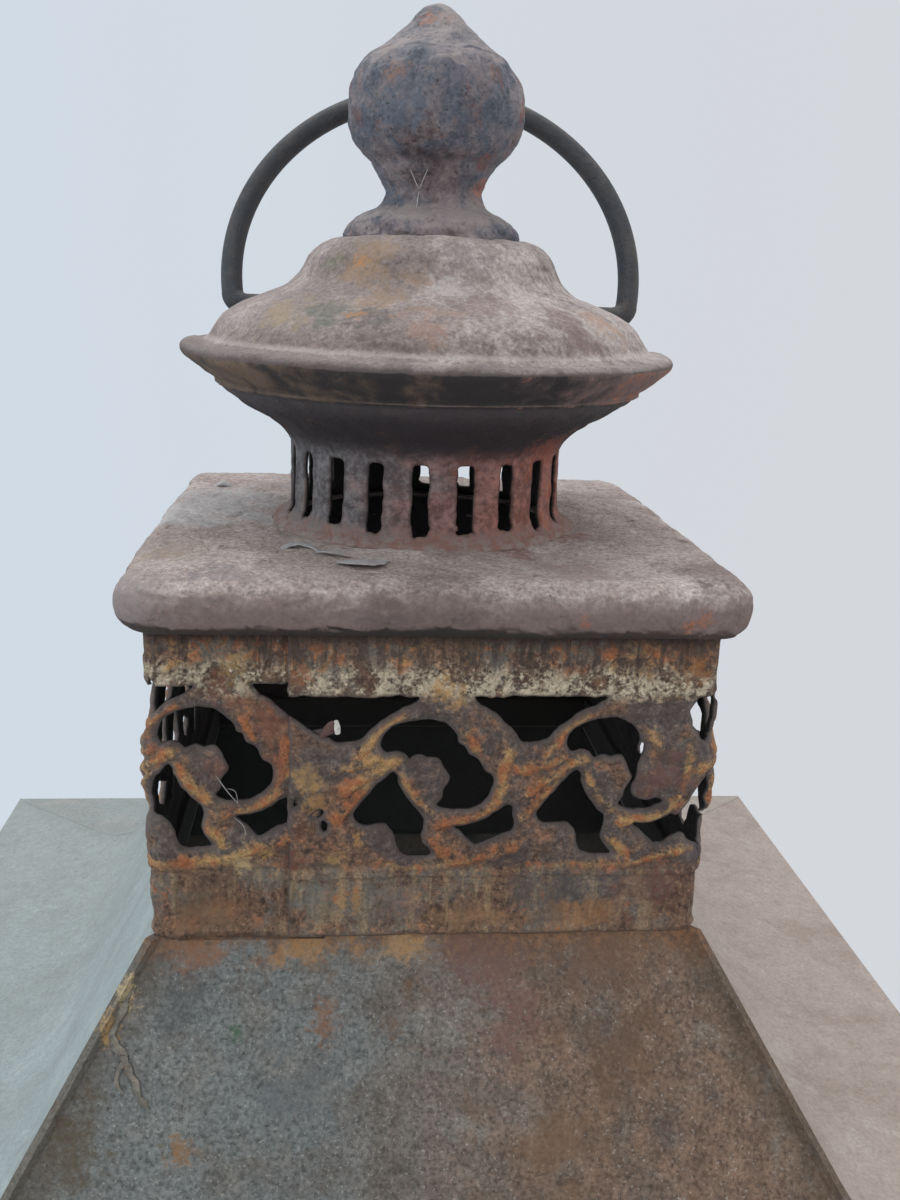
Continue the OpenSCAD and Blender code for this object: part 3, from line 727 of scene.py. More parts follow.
@dataclass(frozen=True)
class CollarRust(Finish):
    """Grey paint on the left that gives way to red-brown rust on the right."""

    name: str = "collar_rust_and_shade"
    half: float = 40.0
    grey: Colour = srgb(118, 117, 120)
    dark_grey: Colour = srgb(72, 69, 72)
    red: Colour = srgb(166, 112, 100)
    dark_red: Colour = srgb(106, 70, 64)
    orange: Colour = srgb(172, 96, 64)
    foot_rust: Colour = srgb(124, 92, 82)
    solder: Colour = srgb(140, 130, 126)
    # Painted shade on the flare under the dome, with rust runs and a greyer lip.
    flare: Colour = srgb(50, 43, 47)
    flare_rust: Colour = srgb(100, 76, 60)
    flare_grey: Colour = srgb(76, 70, 72)
    cut: Colour = srgb(60, 44, 40)
    # Painted shade on the inner face, seen through the slots.
    inner: Colour = srgb(26, 22, 22)
    stains: tuple[Stain, ...] = (
        Stain((15, -34, 25.6), 0.9, (206, 200, 194), 1),
        Stain((31, -24, 22), 9, (150, 82, 64), 0.75),
        Stain((-6, -36, 24), 1.2, (150, 146, 144), 0.6),
        Stain((34, -17, 12), 5, (176, 92, 62), 0.5),
        Stain((30, -22, 3), 4, (168, 98, 66), 0.5),
        Stain((-33, -18, 9), 5, (128, 106, 84), 0.5),
    )

    def skin(self, bench: Bench) -> Skin:
        """Grey or rust by the place from left to right, with painted shade on the flare under the
        dome.

        Args:
            bench: Node tree of the material.

        Returns:
            Its colour, roughness and relief.
        """
        x, z = bench.axis(0), bench.axis(2)
        blotch = bench.grain(10.0, 3.1, 5.0, 0.66, 0.4)
        patch = bench.grain(4.0, 5.3, 5.0, 0.7, 0.3)
        speck = bench.grain(1.4, 4.2, 4.0, 0.7)
        side = (x / self.half + (blotch - 0.5) * 1.8).ease(-0.75, 0.8)
        worn = (patch * 0.6 + speck * 0.4).ease(0.38, 0.6)
        grey = bench.mix(self.grey, self.dark_grey, worn)
        red = bench.mix(self.red, self.dark_red, worn)
        colour = bench.mix(grey, red, side)
        colour = bench.mix(colour, self.orange, patch.ease(0.56, 0.7) * side * 0.5)
        grime = (z + (patch - 0.5) * 7.0).ease(5.5, 1.2)
        clean = (patch + speck * 0.4).ease(0.6, 0.84)
        solder = bench.mix(self.foot_rust, self.solder, clean)
        colour = bench.mix(colour, solder, grime * 0.85)
        # Painted shade: the flare under the dome is painted near black, with rust runs.
        dark = (z + (blotch - 0.5) * 5.0).ease(20.0, 26.0)
        runs = bench.grain(8.0, 8.0, 5.0, 0.65, 0.5, (1.0, 1.0, 0.5)).ease(0.56, 0.72)
        flare_shade = bench.mix(self.flare, self.flare_rust, runs * 0.4)
        lip = (z + (patch - 0.5) * 6.0).ease(32.0, 36.0)
        flare_shade = bench.mix(flare_shade, self.flare_grey, lip * 0.6)
        colour = bench.mix(colour, flare_shade, dark)
        colour = stained(bench, colour, self.stains)
        edge = bench.mark("tone")
        colour = bench.mix(colour, self.cut, edge.ease(0.2, 0.03) * 0.5)
        # Painted shade: the inner face is painted near black.
        colour = bench.mix(colour, self.inner, edge.ease(*INNER_FACE_SHADE))
        height = speck * 0.7 + patch * 0.6 + bench.grain(0.7, 9.0, 2.0, 0.6) * 0.4
        return Skin(colour, 0.86, height, 0.7)


@dataclass(frozen=True)
class GalleryRust(Finish):
    """Pierced strip: ochre and orange rust on the crests, iron grey along the edges, both partly
    painted light and shade.
    """

    name: str = "gallery_rust_and_shade"
    seed: float = 5.0
    cream: Colour = srgb(188, 174, 152)
    dark_umber: Colour = srgb(72, 55, 47)
    umber: Colour = srgb(136, 106, 86)
    dark_iron: Colour = srgb(78, 68, 65)
    iron: Colour = srgb(112, 102, 97)
    ochre: Colour = srgb(182, 144, 94)
    orange: Colour = srgb(160, 98, 62)
    paint: Colour = srgb(116, 112, 104)
    tan: Colour = srgb(156, 134, 104)
    run: Colour = srgb(64, 56, 52)
    shade: Colour = srgb(58, 44, 40)
    crack: Colour = srgb(44, 34, 30)
    cut: Colour = srgb(86, 77, 76)
    # Painted shade on the inner face, seen through the piercings.
    inner: Colour = srgb(29, 25, 24)
    stains: tuple[Stain, ...] = ()

    def skin(self, bench: Bench) -> Skin:
        """Bands, streaks and scrolls by height, crests by the distance from an edge.

        Args:
            bench: Node tree of the material.

        Returns:
            Its colour, roughness and relief.
        """
        z, edge = bench.axis(2), bench.mark("tone")
        fine = bench.grain(0.9, self.seed + 8, 2.0, 0.6)
        speck = bench.grain(1.5, self.seed, 5.0, 0.74)
        patch = bench.grain(4.2, self.seed + 3, 6.0, 0.7, 0.4)
        blotch = bench.grain(9.0, self.seed + 1, 6.0, 0.66, 0.5)
        wide = bench.grain(20.0, self.seed + 2, 4.0, 0.62, 0.4)
        light = (speck * 0.6 + patch * 0.5).ease(0.42, 0.66)
        umber = bench.mix(self.dark_umber, self.umber, light)
        light = (speck * 0.5 + blotch * 0.6).ease(0.42, 0.66)
        iron = bench.mix(self.dark_iron, self.iron, light)
        fresh = (patch + (wide - 0.5) * 0.9).ease(0.44, 0.6)
        warm = bench.mix(self.ochre, self.orange, fresh)
        upper = (z + (speck - 0.5) * 3.0).ease(-30.5, -27.5)
        lower = (z + (patch - 0.5) * 4.0).ease(-71.0, -75.0)
        band = upper.most(lower)
        brown = (blotch + (wide - 0.5)).ease(0.42, 0.62)
        # Grey edges and warm, lighter crests: partly rust colour, partly painted shade and light of
        # the relief.
        scroll = bench.mix(iron, umber, brown * edge.ease(0.06, 0.4))
        foot = z + (patch - 0.5) * 6.0
        foot = foot.ease(-69.0, -73.0) * foot.ease(-79.0, -76.0)
        ridge = (bench.mark("vein") - 0.3) * 0.55 + foot * 0.12
        ridge = ridge + (patch - 0.5) * 1.5 + (speck - 0.5) * 1.3 + (blotch - 0.5) * 1.2
        crest = edge.ease(0.06, 0.4) * ridge.ease(-0.05, 0.5)
        scroll = bench.mix(scroll, warm, crest * 0.9)
        paint = (wide + (blotch - 0.5) * 0.8).ease(0.46, 0.64)
        ground = bench.mix(umber, self.paint, paint * 0.75)
        crust = (patch * 0.6 + blotch * 0.5 + speck * 0.3 - lower * 0.07).ease(0.7, 0.8)
        ground = bench.mix(ground, warm, crust * 0.9)
        streaks = bench.grain(2.1, self.seed + 5, 4.0, 0.62, 0.2, (1.0, 1.0, 0.12))
        runs = streaks.ease(0.44, 0.6)
        tan = (streaks + (wide - 0.5) * 0.5).ease(0.52, 0.64) * lower
        ground = bench.mix(ground, self.tan, tan * 0.55)
        colour = bench.mix(scroll, ground, band)
        pale = (z + (blotch - 0.5) * 16.0 + (streaks - 0.5) * 9.0).ease(-19.5, -24.5) * upper
        flecks = (speck * 0.55 + blotch * 0.75 + fine * 0.2).ease(0.66, 0.78)
        colour = bench.mix(colour, self.cream, pale * flecks)
        reach = (z + (patch - 0.5) * 9.0).ease(-24.5, -18.5)
        colour = bench.mix(colour, self.run, runs * reach * 0.75)
        shade = (z + (patch - 0.5) * 4.0).ease(-18.5, -14.0)
        colour = bench.mix(colour, self.shade, shade * 0.85)
        bite = 0.4 + edge.ease(0.1, 0.5) * 0.6
        colour = bench.shade(colour, 1.0 + ((fine - 0.5) * 1.3 + (speck - 0.5) * 1.2) * bite)
        cracks = ((patch - 0.5) * (patch - 0.5)).ease(0.0006, 0.0) * speck.ease(0.46, 0.6)
        colour = bench.mix(colour, self.crack, cracks * 0.7)
        rim = edge.ease(0.2, 0.02)
        colour = stained(bench, colour, self.stains)
        colour = bench.mix(colour, self.cut, rim * 0.7)
        # Painted shade: the inner face is painted near black.
        colour = bench.mix(colour, self.inner, edge.ease(*INNER_FACE_SHADE))
        height = speck * 0.7 + patch * 0.7 + fine * 0.4 + flecks * pale * 0.3
        return Skin(colour, 0.84 + speck * 0.1, height, 0.85)


@dataclass(frozen=True)
class RoofPaint(Finish):
    """Speckled roof paint that runs from one tone to another across the panel.

    The tones change along the axis across, over the distance span. Mottled, grit and foot
    are the shares of the mottling, of the grit, and of the rust under the strip and of the
    painted shade along the hips.
    """

    name: str
    first: Colour
    second: Colour
    mottle: Colour
    bloom: Colour
    mottled: float = 0.4
    grit: float = 0.5
    foot: float = 0.6
    across: int = 0
    span: float = 110.0
    seed: float = 7.0
    stains: tuple[Stain, ...] = ()
    # Colour of the painted shade along the hips.
    hip_shade: Colour = srgb(82, 70, 56)
    rust: Colour = srgb(142, 102, 70)
    dark_rust: Colour = srgb(92, 68, 54)
    brown: Colour = srgb(110, 84, 66)
    fleck: Colour = srgb(66, 58, 52)
    spark: Colour = srgb(176, 174, 168)
    # Painted shade on faces that look down or lie under the strip.
    inner: Colour = srgb(34, 30, 29)

    def skin(self, bench: Bench) -> Skin:
        """Two tones across the panel, soft mottling, grit, rust under the strip, and painted shade.

        Args:
            bench: Node tree of the material.

        Returns:
            Its colour, roughness and relief.
        """
        along, z = bench.axis(self.across), bench.axis(2)
        blotch = bench.grain(34.0, self.seed, 5.0, 0.6, 0.7)
        patch = bench.grain(11.0, self.seed + 1, 5.0, 0.66, 0.5)
        speck = bench.grain(1.5, self.seed + 2, 5.0, 0.74)
        fine = bench.grain(1.1, self.seed + 4, 2.0, 0.6)
        share = (along / self.span + (blotch - 0.5) * 2.0).ease(-0.7, 0.7)
        colour = bench.mix(self.first, self.second, share)
        cloud = (patch * 0.6 + blotch * 0.6).ease(0.54, 0.74)
        colour = bench.mix(colour, self.mottle, cloud * self.mottled)
        light = (bench.grain(16.0, self.seed + 8, 5.0, 0.66, 0.5) - share * 0.06).ease(0.5, 0.68)
        colour = bench.mix(colour, self.bloom, light * 0.55)
        level = (fine - 0.5) * 2.2 + (speck - 0.5) * 1.6 + (patch - 0.5) * 0.5
        colour = bench.shade(colour, 1.0 + level * self.grit)
        dark = (fine * 0.5 + speck * 0.6).ease(0.64, 0.72)
        colour = bench.mix(colour, self.fleck, dark * self.grit * 0.35)
        spark = bench.grain(0.8, self.seed + 12, 2.0, 0.5).ease(0.62, 0.7)
        colour = bench.mix(colour, self.spark, spark * self.grit * 0.5)
        drips = bench.grain(4.5, self.seed + 9, 5.0, 0.68, 0.4, (1.0, 1.0, 0.3))
        colour = bench.shade(colour, 1.0 + (drips - 0.5) * self.grit * (0.6 + share * 1.2))
        # Painted shade: darker near the hips.
        hip = -bench.axis(1 - self.across) - along.most(-along) + (patch - 0.5) * 24.0
        colour = bench.mix(colour, self.hip_shade, hip.ease(13.0, 0.0) * self.foot * 0.7)
        runs = bench.grain(6.0, self.seed + 5, 5.0, 0.66, 0.3, (1.0, 1.0, 0.3))
        rust = (z + (runs - 0.5) * 30.0 + (patch - 0.5) * 14.0).ease(-101.0, -90.0)
        tone = bench.mix(self.rust, self.dark_rust, speck.ease(0.42, 0.58))
        colour = bench.mix(colour, tone, rust * self.foot)
        brown = runs.ease(0.56, 0.72) * (blotch + share * 0.2).ease(0.45, 0.62)
        colour = bench.mix(colour, self.brown, brown * self.foot * 0.7)
        colour = stained(bench, colour, self.stains)
        # Painted shade: faces that look down, and the top under the strip, are painted near black.
        hidden_shade = bench.facing(2).ease(-0.05, -0.3).most(z.ease(-91.8, -90.4))
        colour = bench.mix(colour, self.inner, hidden_shade * 0.95)
        height = speck * 0.7 + fine * 0.6 + patch * 0.5 + drips * 0.5
        return Skin(colour, 0.82 + speck * 0.12, height, 0.25 + self.grit * 0.7)


@dataclass(frozen=True)
class BareIron(Finish):
    """Iron or old paint in two tones, with rust in patches and dust on top.

    Rusty, dusty and bite are shares of rust, dust and grit, size is the width of the
    blotches, and drawn is the width of the rust marks over their height.
    """

    name: str
    first: Colour
    second: Colour
    rust: Colour = RED_RUST
    rusty: float = 0.5
    dusty: float = 0.5
    size: float = 9.0
    depth: float = 0.45
    sheen: float = 0.72
    seed: float = 11.0
    drawn: float = 1.0
    bite: float = 0.6
    stains: tuple[Stain, ...] = ()

    def skin(self, bench: Bench) -> Skin:
        """Blotches of two tones, drawn-out rust over them, dust where the face looks up.

        Args:
            bench: Node tree of the material.

        Returns:
            Its colour, roughness and relief.
        """
        up = bench.facing(2)
        blotch = bench.grain(self.size, self.seed, 5.0, 0.64, 0.4)
        speck = bench.grain(1.7, self.seed + 1, 5.0, 0.72)
        tone = (blotch + (speck - 0.5) * 0.25).ease(0.38, 0.62)
        colour = bench.mix(self.first, self.second, tone)
        spread = (1.0, 1.0, self.drawn)
        rust = bench.grain(self.size * 0.6, self.seed + 2, 6.0, 0.7, 0.5, spread).ease(0.54, 0.68)
        colour = bench.mix(colour, self.rust, rust * self.rusty)
        fine = bench.grain(0.9, self.seed + 5, 2.0, 0.6)
        level = (speck - 0.5) * 1.0 + (blotch - 0.5) * 1.6 + (fine - 0.5) * 0.9
        colour = bench.shade(colour, 1.0 + level * self.bite)
        pits = bench.grain(1.2, self.seed + 3, 3.0, 0.65).ease(0.6, 0.7)
        colour = bench.mix(colour, SOOT_AND_SHADE, pits * 0.5)
        colour = stained(bench, colour, self.stains)
        dust = (up + (blotch - 0.5) * 1.2 + (speck - 0.5) * 0.5).ease(0.35, 1.05)
        colour = bench.mix(colour, DUST, dust * self.dusty)
        height = speck + bench.grain(0.7, self.seed + 4, 2.0, 0.6) * 0.4 - pits * 0.6
        return Skin(colour, self.sheen + speck * 0.2, height, self.depth)


@dataclass(frozen=True)
class WindowGlass(Finish):
    """Clear sheet glass under a film of dust that is thicker towards the bottom."""

    name: str = "window_glass"
    tint: Colour = srgb(226, 236, 234)
    film: float = 0.22
    polish: float = 0.03
    settled: float = -380.0
    sill: float = -470.0

    def surface(self, bench: Bench) -> Wire:
        """Glass mixed with a matt film by a dust mask.

        Args:
            bench: Node tree of the material.

        Returns:
            The shader.
        """
        cloud = bench.grain(40.0, 2.0, 5.0, 0.6, 0.5)
        speck = bench.grain(1.5, 3.0, 4.0, 0.7)
        low = bench.axis(2).ease(self.settled, self.sill)
        dust = (cloud + (speck - 0.5) * 0.6 + low * 0.35).ease(0.4, 0.95)
        clear = bench.shader(
            self.tint, self.polish + dust * 0.2, IOR=1.5, Transmission_Weight=1.0
        )
        matt = bench.shader(PALE_DUST, 0.9)
        share = self.polish + dust * self.film
        return bench.add("ShaderNodeMixShader", {0: share, 1: clear, 2: matt})


def dress(finish: Finish, *nodes: str) -> None:
    """Puts a finish on CAD nodes, whose shapes stay as they are.

    Args:
        finish: The finish.
        nodes: Names of the nodes.
    """
    for name in nodes:
        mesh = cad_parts[name].data
        mesh.materials.clear()
        mesh.materials.append(finish.material())
        log.info("%s: kept, in %s", name, finish.name)


# Crown


@dataclass
class Finial:
    """Cast finial: swirled bulb with a nub on top, on a seat of leaves.

    The shape lists height above the plate and radius, from the seat up to the tip. Bulb and
    leaf are heights above the plate between which each of them reaches.
    """

    shape: Outline = (
        (75.4, 22.4), (77.8, 22.4), (79.8, 21.2), (81.6, 18.4), (83.6, 14.4), (87.2, 12.6),
        (90.4, 14.2), (94.2, 16.3), (96.6, 18.8), (99.6, 20.9), (103.6, 22.2), (108.0, 22.6),
        (112.4, 22.0), (116.2, 20.4), (119.4, 17.7), (122.2, 13.8), (124.6, 11.0),
        (127.2, 8.2), (129.8, 5.7), (131.6, 3.6), (132.5, 1.4),
    )
    swirls: int = 16
    twist: float = math.radians(-25)
    swirl_depth: float = 0.65
    bulb: Point = (92.0, 125.0)
    leaves: int = 9
    leaf_depth: float = 2.0
    leaf: Point = (76.5, 85.5)
    rows: int = 230
    columns: int = 320
    finish: Finish = BareIron(
        "finial_iron", srgb(86, 91, 104), srgb(106, 98, 100), srgb(124, 88, 76), 0.6, 0.7, 8.0,
        0.5, 0.62, 11.0, 0.6, 1.3,
        (
            Stain((-3, -7, 128), 3.2, (160, 96, 62)),
            Stain((-11, -18, 113), 3.4, (140, 100, 78), 0.6),
            Stain((-20, -9, 104), 3.4, (128, 84, 68), 0.5),
            Stain((8, -20, 104), 4, (112, 76, 64), 0.5),
            Stain((21, -8, 108), 4, (150, 86, 62), 0.6),
            Stain((11, -11, 95), 3.6, (146, 84, 68), 0.55),
            Stain((21, -11, 111), 8, (150, 140, 142), 0.6),
            Stain((12, -6, 89), 3.4, (172, 98, 64), 0.7),
            Stain((-3, -17, 93), 12, (70, 56, 57), 1, 0.8),
            Stain((2, -14, 88), 8, (84, 70, 72), 1, 0.6),
            Stain((-9, -20, 106), 7, (84, 92, 106)),
            Stain((6, -21, 103), 6, (70, 74, 86)),
            Stain((4, -16, 118), 8, (104, 98, 108), 0.7),
            Stain((0, -20, 80), 14, (140, 126, 126)),
            Stain((17, -15, 113), 0.55, (226, 222, 216), 1),
            Stain((18.2, -14, 113.3), 0.55, (226, 222, 216), 1),
        ),
    )

    def points(self) -> Array:
        """Profile (r, h) over the angle, with twisted ribs r + d |cos(n a / 2)|^p and petals.

        Returns:
            Points, shape (rows, columns, 3).
        """
        path = resample(curve(self.shape, 12), self.rows)
        top = np.array([[path[-1, 0] + 0.25, 0.0]])
        seat = np.stack([np.full(12, path[0, 0]), np.linspace(0.0, path[0, 1] * 0.97, 12)], 1)
        path = np.vstack([seat, path, top])
        h, r = path[:, :1], path[:, 1:]
        a = np.linspace(0.0, 2 * math.pi, self.columns, endpoint=False)[None, :]
        low, high = self.shape[0][0], self.shape[-1][0]
        turned = a + self.twist * (h - low) / (high - low)
        foot, head = self.bulb
        bulb = np.sin(np.clip((h - foot) / (head - foot), 0.0, 1.0) * math.pi)
        foot, head = self.leaf
        leaf = np.clip((head - h) / (head - foot), 0.0, 1.0) * ease(r, 8.0, 14.0)
        groove = np.abs(np.cos(self.swirls / 2 * turned)) ** 0.7 - 0.62
        petal = np.abs(np.sin(self.leaves / 2 * (a + 0.04 * (h - low)))) ** 0.6 - 0.65
        flat = around(r, a, h)
        wear = 0.42 * rough(flat, 9.0, 2, 3) + 0.22 * rough(flat, 2.6, 3, 8)
        scale = 0.28 * ease(noise(flat, 4.2, 21), 0.1, 0.35) + 1.1 * leaf * rough(flat, 6.0, 3, 27)
        away = ease(r, 0.4, 4.0)
        carved = self.swirl_depth * bulb * groove + self.leaf_depth * leaf * petal
        wide = r + (carved + wear + scale) * away
        drop = -0.8 * leaf * ease(petal, -0.2, 0.3) * ease(h, low + 0.3, low + 2.0)
        return around(wide, a, h + drop)

    def build(self) -> None:
        """Stores the finial in place of its CAD solid."""
        store_rows("finial_swirl", self.points(), self.finish, "finial", False)


@dataclass
class DomeCap:
    """Spun dome cap with a hemmed rim, revolved from its outer face.

    The shape lists radius and height above the plate, from the stud out to the seam.
    """

    shape: Outline = (
        (3.3, 75.4), (20, 75.4), (25.8, 74.9), (29.4, 73.4), (32.2, 70.6), (33.8, 67.9),
        (35.6, 65.0), (38.6, 62.5), (43.6, 60.3), (50.2, 57.6), (54.4, 54.9), (57.0, 51.8),
        (58.6, 49.2), (60.4, 47.7), (62.6, 47.4), (64.6, 47.3), (65.9, 46.0), (65.3, 44.3),
        (62.6, 42.2), (59.6, 40.0), (57.5, 38.6), (57.2, 37.2),
    )
    sheet: float = 1.2
    dent: float = 0.7
    rim_wave: float = 0.5
    outer_rows: int = 168
    inner_rows: int = 34
    columns: int = 440
    # The dome's lean paints light on its right side as a larger share of pale dust.
    finish: Finish = CrownDust(
        "dome_dust_and_shade", dust=srgb(136, 125, 122), pale=srgb(172, 162, 159), lean=0.003,
        depth=0.7, rim_low=44.6, rim_high=47.5, rim=srgb(88, 80, 80), seed=2.0, trough=48.5,
        grit=0.75, crust=0.45, runs=0.75,
        stains=(
            Stain((-18, -28, 71), 9, (146, 122, 98), 0.75),
            Stain((-20, -29, 70), 3.6, (172, 124, 78), 0.95),
            Stain((-16.5, -31, 69), 1.8, (70, 52, 46)),
            Stain((-27, -22, 71), 5, (104, 106, 86), 0.7),
            Stain((-14, -39, 62), 11, (148, 124, 102), 0.7),
            Stain((-27, -43, 57), 8, (92, 98, 86)),
            Stain((-16, -48, 55), 7, (80, 78, 76), 0.75),
            Stain((-20, -46, 56), 3, (176, 124, 80), 0.9),
            Stain((-11, -49, 54.5), 3, (160, 112, 74)),
            Stain((-38, -36, 57), 9, (150, 132, 106), 0.7),
            Stain((10, -43, 59), 9, (124, 104, 100), 0.7),
            Stain((29, -43, 55), 10, (116, 96, 94)),
            Stain((40, -33, 57), 7, (160, 128, 106), 0.7),
            Stain((6, -31, 71), 9, (124, 112, 112)),
            Stain((-4, -50, 53), 9, (150, 120, 106), 0.7),
            Stain((2, -37, 63), 5, (176, 170, 170)),
        ),
    )

    def points(self) -> Array:
        """Closed section (r, z) of both faces over the angle, with dents, scale, crust and a wavy
        rim.

        Returns:
            Points, shape (rows, columns, 3).
        """
        outer = resample(curve(self.shape, 10), self.outer_rows)
        inner = resample(outer + self.sheet * sides(outer), self.inner_rows)[::-1]
        path = np.vstack([outer, inner])
        a = np.linspace(0.0, 2 * math.pi, self.columns, endpoint=False)[None, :]
        r, z = path[:, :1], path[:, 1:]
        flat = around(r, a, z)
        face = np.r_[np.ones(self.outer_rows), np.zeros(self.inner_rows)][:, None]
        out = np.vstack([-sides(outer), np.tile([[0.0, 1.0]], (self.inner_rows, 1))])
        near = ease(r, 6.0, 22.0)
        dent = self.dent * noise(flat, 21.0, 5) * near
        scale = 0.16 * ease(noise(flat, 5.5, 9), 0.05, 0.3) + 0.13 * rough(flat, 3.4, 3, 14)
        crust = 0.3 * ease(noise(flat, 8.0, 31), 0.0, 0.3) * hump(z, 73.0, 3.0)
        rim = self.rim_wave * noise(flat, 17.0, 44) * ease(r, 58.0, 64.0)
        move = dent + face * (scale + crust) * near
        wide = r + move * out[:, :1] + rim
        high = z + move * out[:, 1:] + 0.7 * rim
        return around(wide, a, high)

    def build(self) -> None:
        """Stores the dome in place of its CAD solid."""
        store_rows("dome_shell", self.points(), self.finish, "dome_cap", True)


@dataclass
class TopPlate:
    """Square plate with a full-round rolled edge and a round vent hole."""

    side: float = 150.0
    edge: float = 6.85
    corner: float = 11.0
    hole: float = 35.0
    sheet: float = 1.2
    top_rows: int = 72
    roll_rows: int = 46
    columns: int = 680
    roll_end: float = math.radians(187)
    # The plate's underside gets painted shade from its under colour.
    finish: Finish = CrownDust(
        "plate_dust_and_shade", dust=srgb(156, 142, 137), pale=srgb(174, 164, 160), turn=-0.35,
        bare=srgb(104, 85, 79), rim_low=-15.0, rim_high=-3.0, rim=srgb(121, 105, 102),
        under=srgb(52, 44, 42), seed=12.0, grit=1.0, crust=0.8, runs=0.1, depth=0.9,
        stains=(
            Stain((60, -74, -7), 2.6, (160, 100, 72)),
            Stain((57, -74, -9.5), 1.8, (172, 108, 74)),
            Stain((32, -74.5, -8), 1.8, (160, 98, 70), 0.7),
            Stain((22, -41, 0), 7, (120, 82, 76), 0.85),
            Stain((39, -24, 0), 8, (126, 90, 82), 0.75),
            Stain((4, -45, 0), 8, (122, 100, 96), 0.75),
            Stain((-36, -24, 0), 8, (128, 114, 104), 0.5),
            # Painted light: a pale cool patch on the left of the plate.
            Stain((-62, 10, 0), 34, (170, 174, 178), 0.6),
            # Painted shade: a darker patch on the right of the roll.
            Stain((70, -60, -6), 18, (108, 94, 92)),
            Stain((-6, -75, -8), 22, (98, 84, 82), 0.8, 0.4),
            Stain((-70, -70, -6), 12, (136, 128, 128)),
            Stain((-62, -46, 0), 11, (146, 130, 114), 0.7),
            Stain((-50, -66, 0), 10, (120, 112, 114), 0.7),
            Stain((32, -60, 0), 13, (136, 118, 114), 0.7),
            Stain((0, -70, -2), 10, (96, 82, 80), 0.5),
            Stain((-16.6, -50, 0), 0.8, (216, 214, 210), 1),
        ),
    )

    def axis_path(self) -> tuple[Array, Array]:
        """Centre line of the roll in plan: four sides and four arcs, spaced evenly.

        Returns:
            Its points and its outward directions, each of shape (columns, 2).
        """
        half, r = self.side / 2 - self.edge, self.corner - self.edge
        straight = half - r
        a = np.linspace(0.0, math.pi / 2, 24)
        arc = straight + r * np.stack([np.cos(a), np.sin(a)], 1)
        facing = np.stack([np.cos(a), np.sin(a)], 1)
        turns = [np.array([[c, s], [-s, c]]) for c, s in ((1, 0), (0, 1), (-1, 0), (0, -1))]
        path = np.vstack([arc @ t for t in turns] + [arc[:1]])
        out = np.vstack([facing @ t for t in turns] + [facing[:1]])
        both = resample(path, self.columns + 1, out)[:-1]
        out = both[:, 2:] / np.linalg.norm(both[:, 2:], axis=1, keepdims=True)
        return both[:, :2], out

    def points(self) -> Array:
        """Section over the way round: hole to roll on top, roll p + e sin(t) n, and back below.

        Returns:
            Points, shape (rows, columns, 3).
        """
        path, out = self.axis_path()
        ring = self.hole * path / np.linalg.norm(path, axis=1, keepdims=True)
        share = np.linspace(0.0, 1.0, self.top_rows)[:, None, None]
        turn = np.linspace(0.0, self.roll_end, self.roll_rows)[1:, None, None]
        top = (1 - share) * ring + share * path
        roll = path + self.edge * np.sin(turn) * out
        back = turn[::-4]
        inner = path + (self.edge - self.sheet) * np.sin(back) * out
        below = top[::-9]
        plan = np.concatenate([top, roll, inner, below])
        z = np.concatenate([
            np.zeros(self.top_rows),
            self.edge * (np.cos(turn.ravel()) - 1),
            (self.edge - self.sheet) * np.cos(back.ravel()) - self.edge,
            np.full(len(below), -self.sheet),
        ])[:, None]
        flat = np.concatenate([plan, np.broadcast_to(z, plan.shape[:2])[..., None]], -1)
        shown = self.top_rows + self.roll_rows - 1
        face = (np.arange(len(plan)) < shown)[:, None].astype(float)
        tilt = np.concatenate([
            np.zeros(self.top_rows), turn.ravel(), back.ravel(), np.zeros(len(below))
        ])[:, None]
        lift, push = np.cos(tilt), np.sin(tilt)
        dent = 0.5 * noise(flat, 24.0, 61) - 0.2
        grit = 0.2 * rough(flat, 2.6, 2, 66) + 0.3 * ease(noise(flat, 8.0, 71), 0.12, 0.2)
        scuff = 0.35 * noise(flat, 7.0, 77) * push
        move = dent * ease(z, -12.5, -8.0) + face * (grit + scuff) * ease(z, -13.6, -12.0)
        flat[..., 2] += move * lift
        flat[..., :2] += (move * push)[..., None] * out
        return flat

    def build(self) -> None:
        """Stores the plate in place of its CAD solid."""
        store_rows("plate_shell", self.points(), self.finish, "top_plate", True)


# Pierced sheets


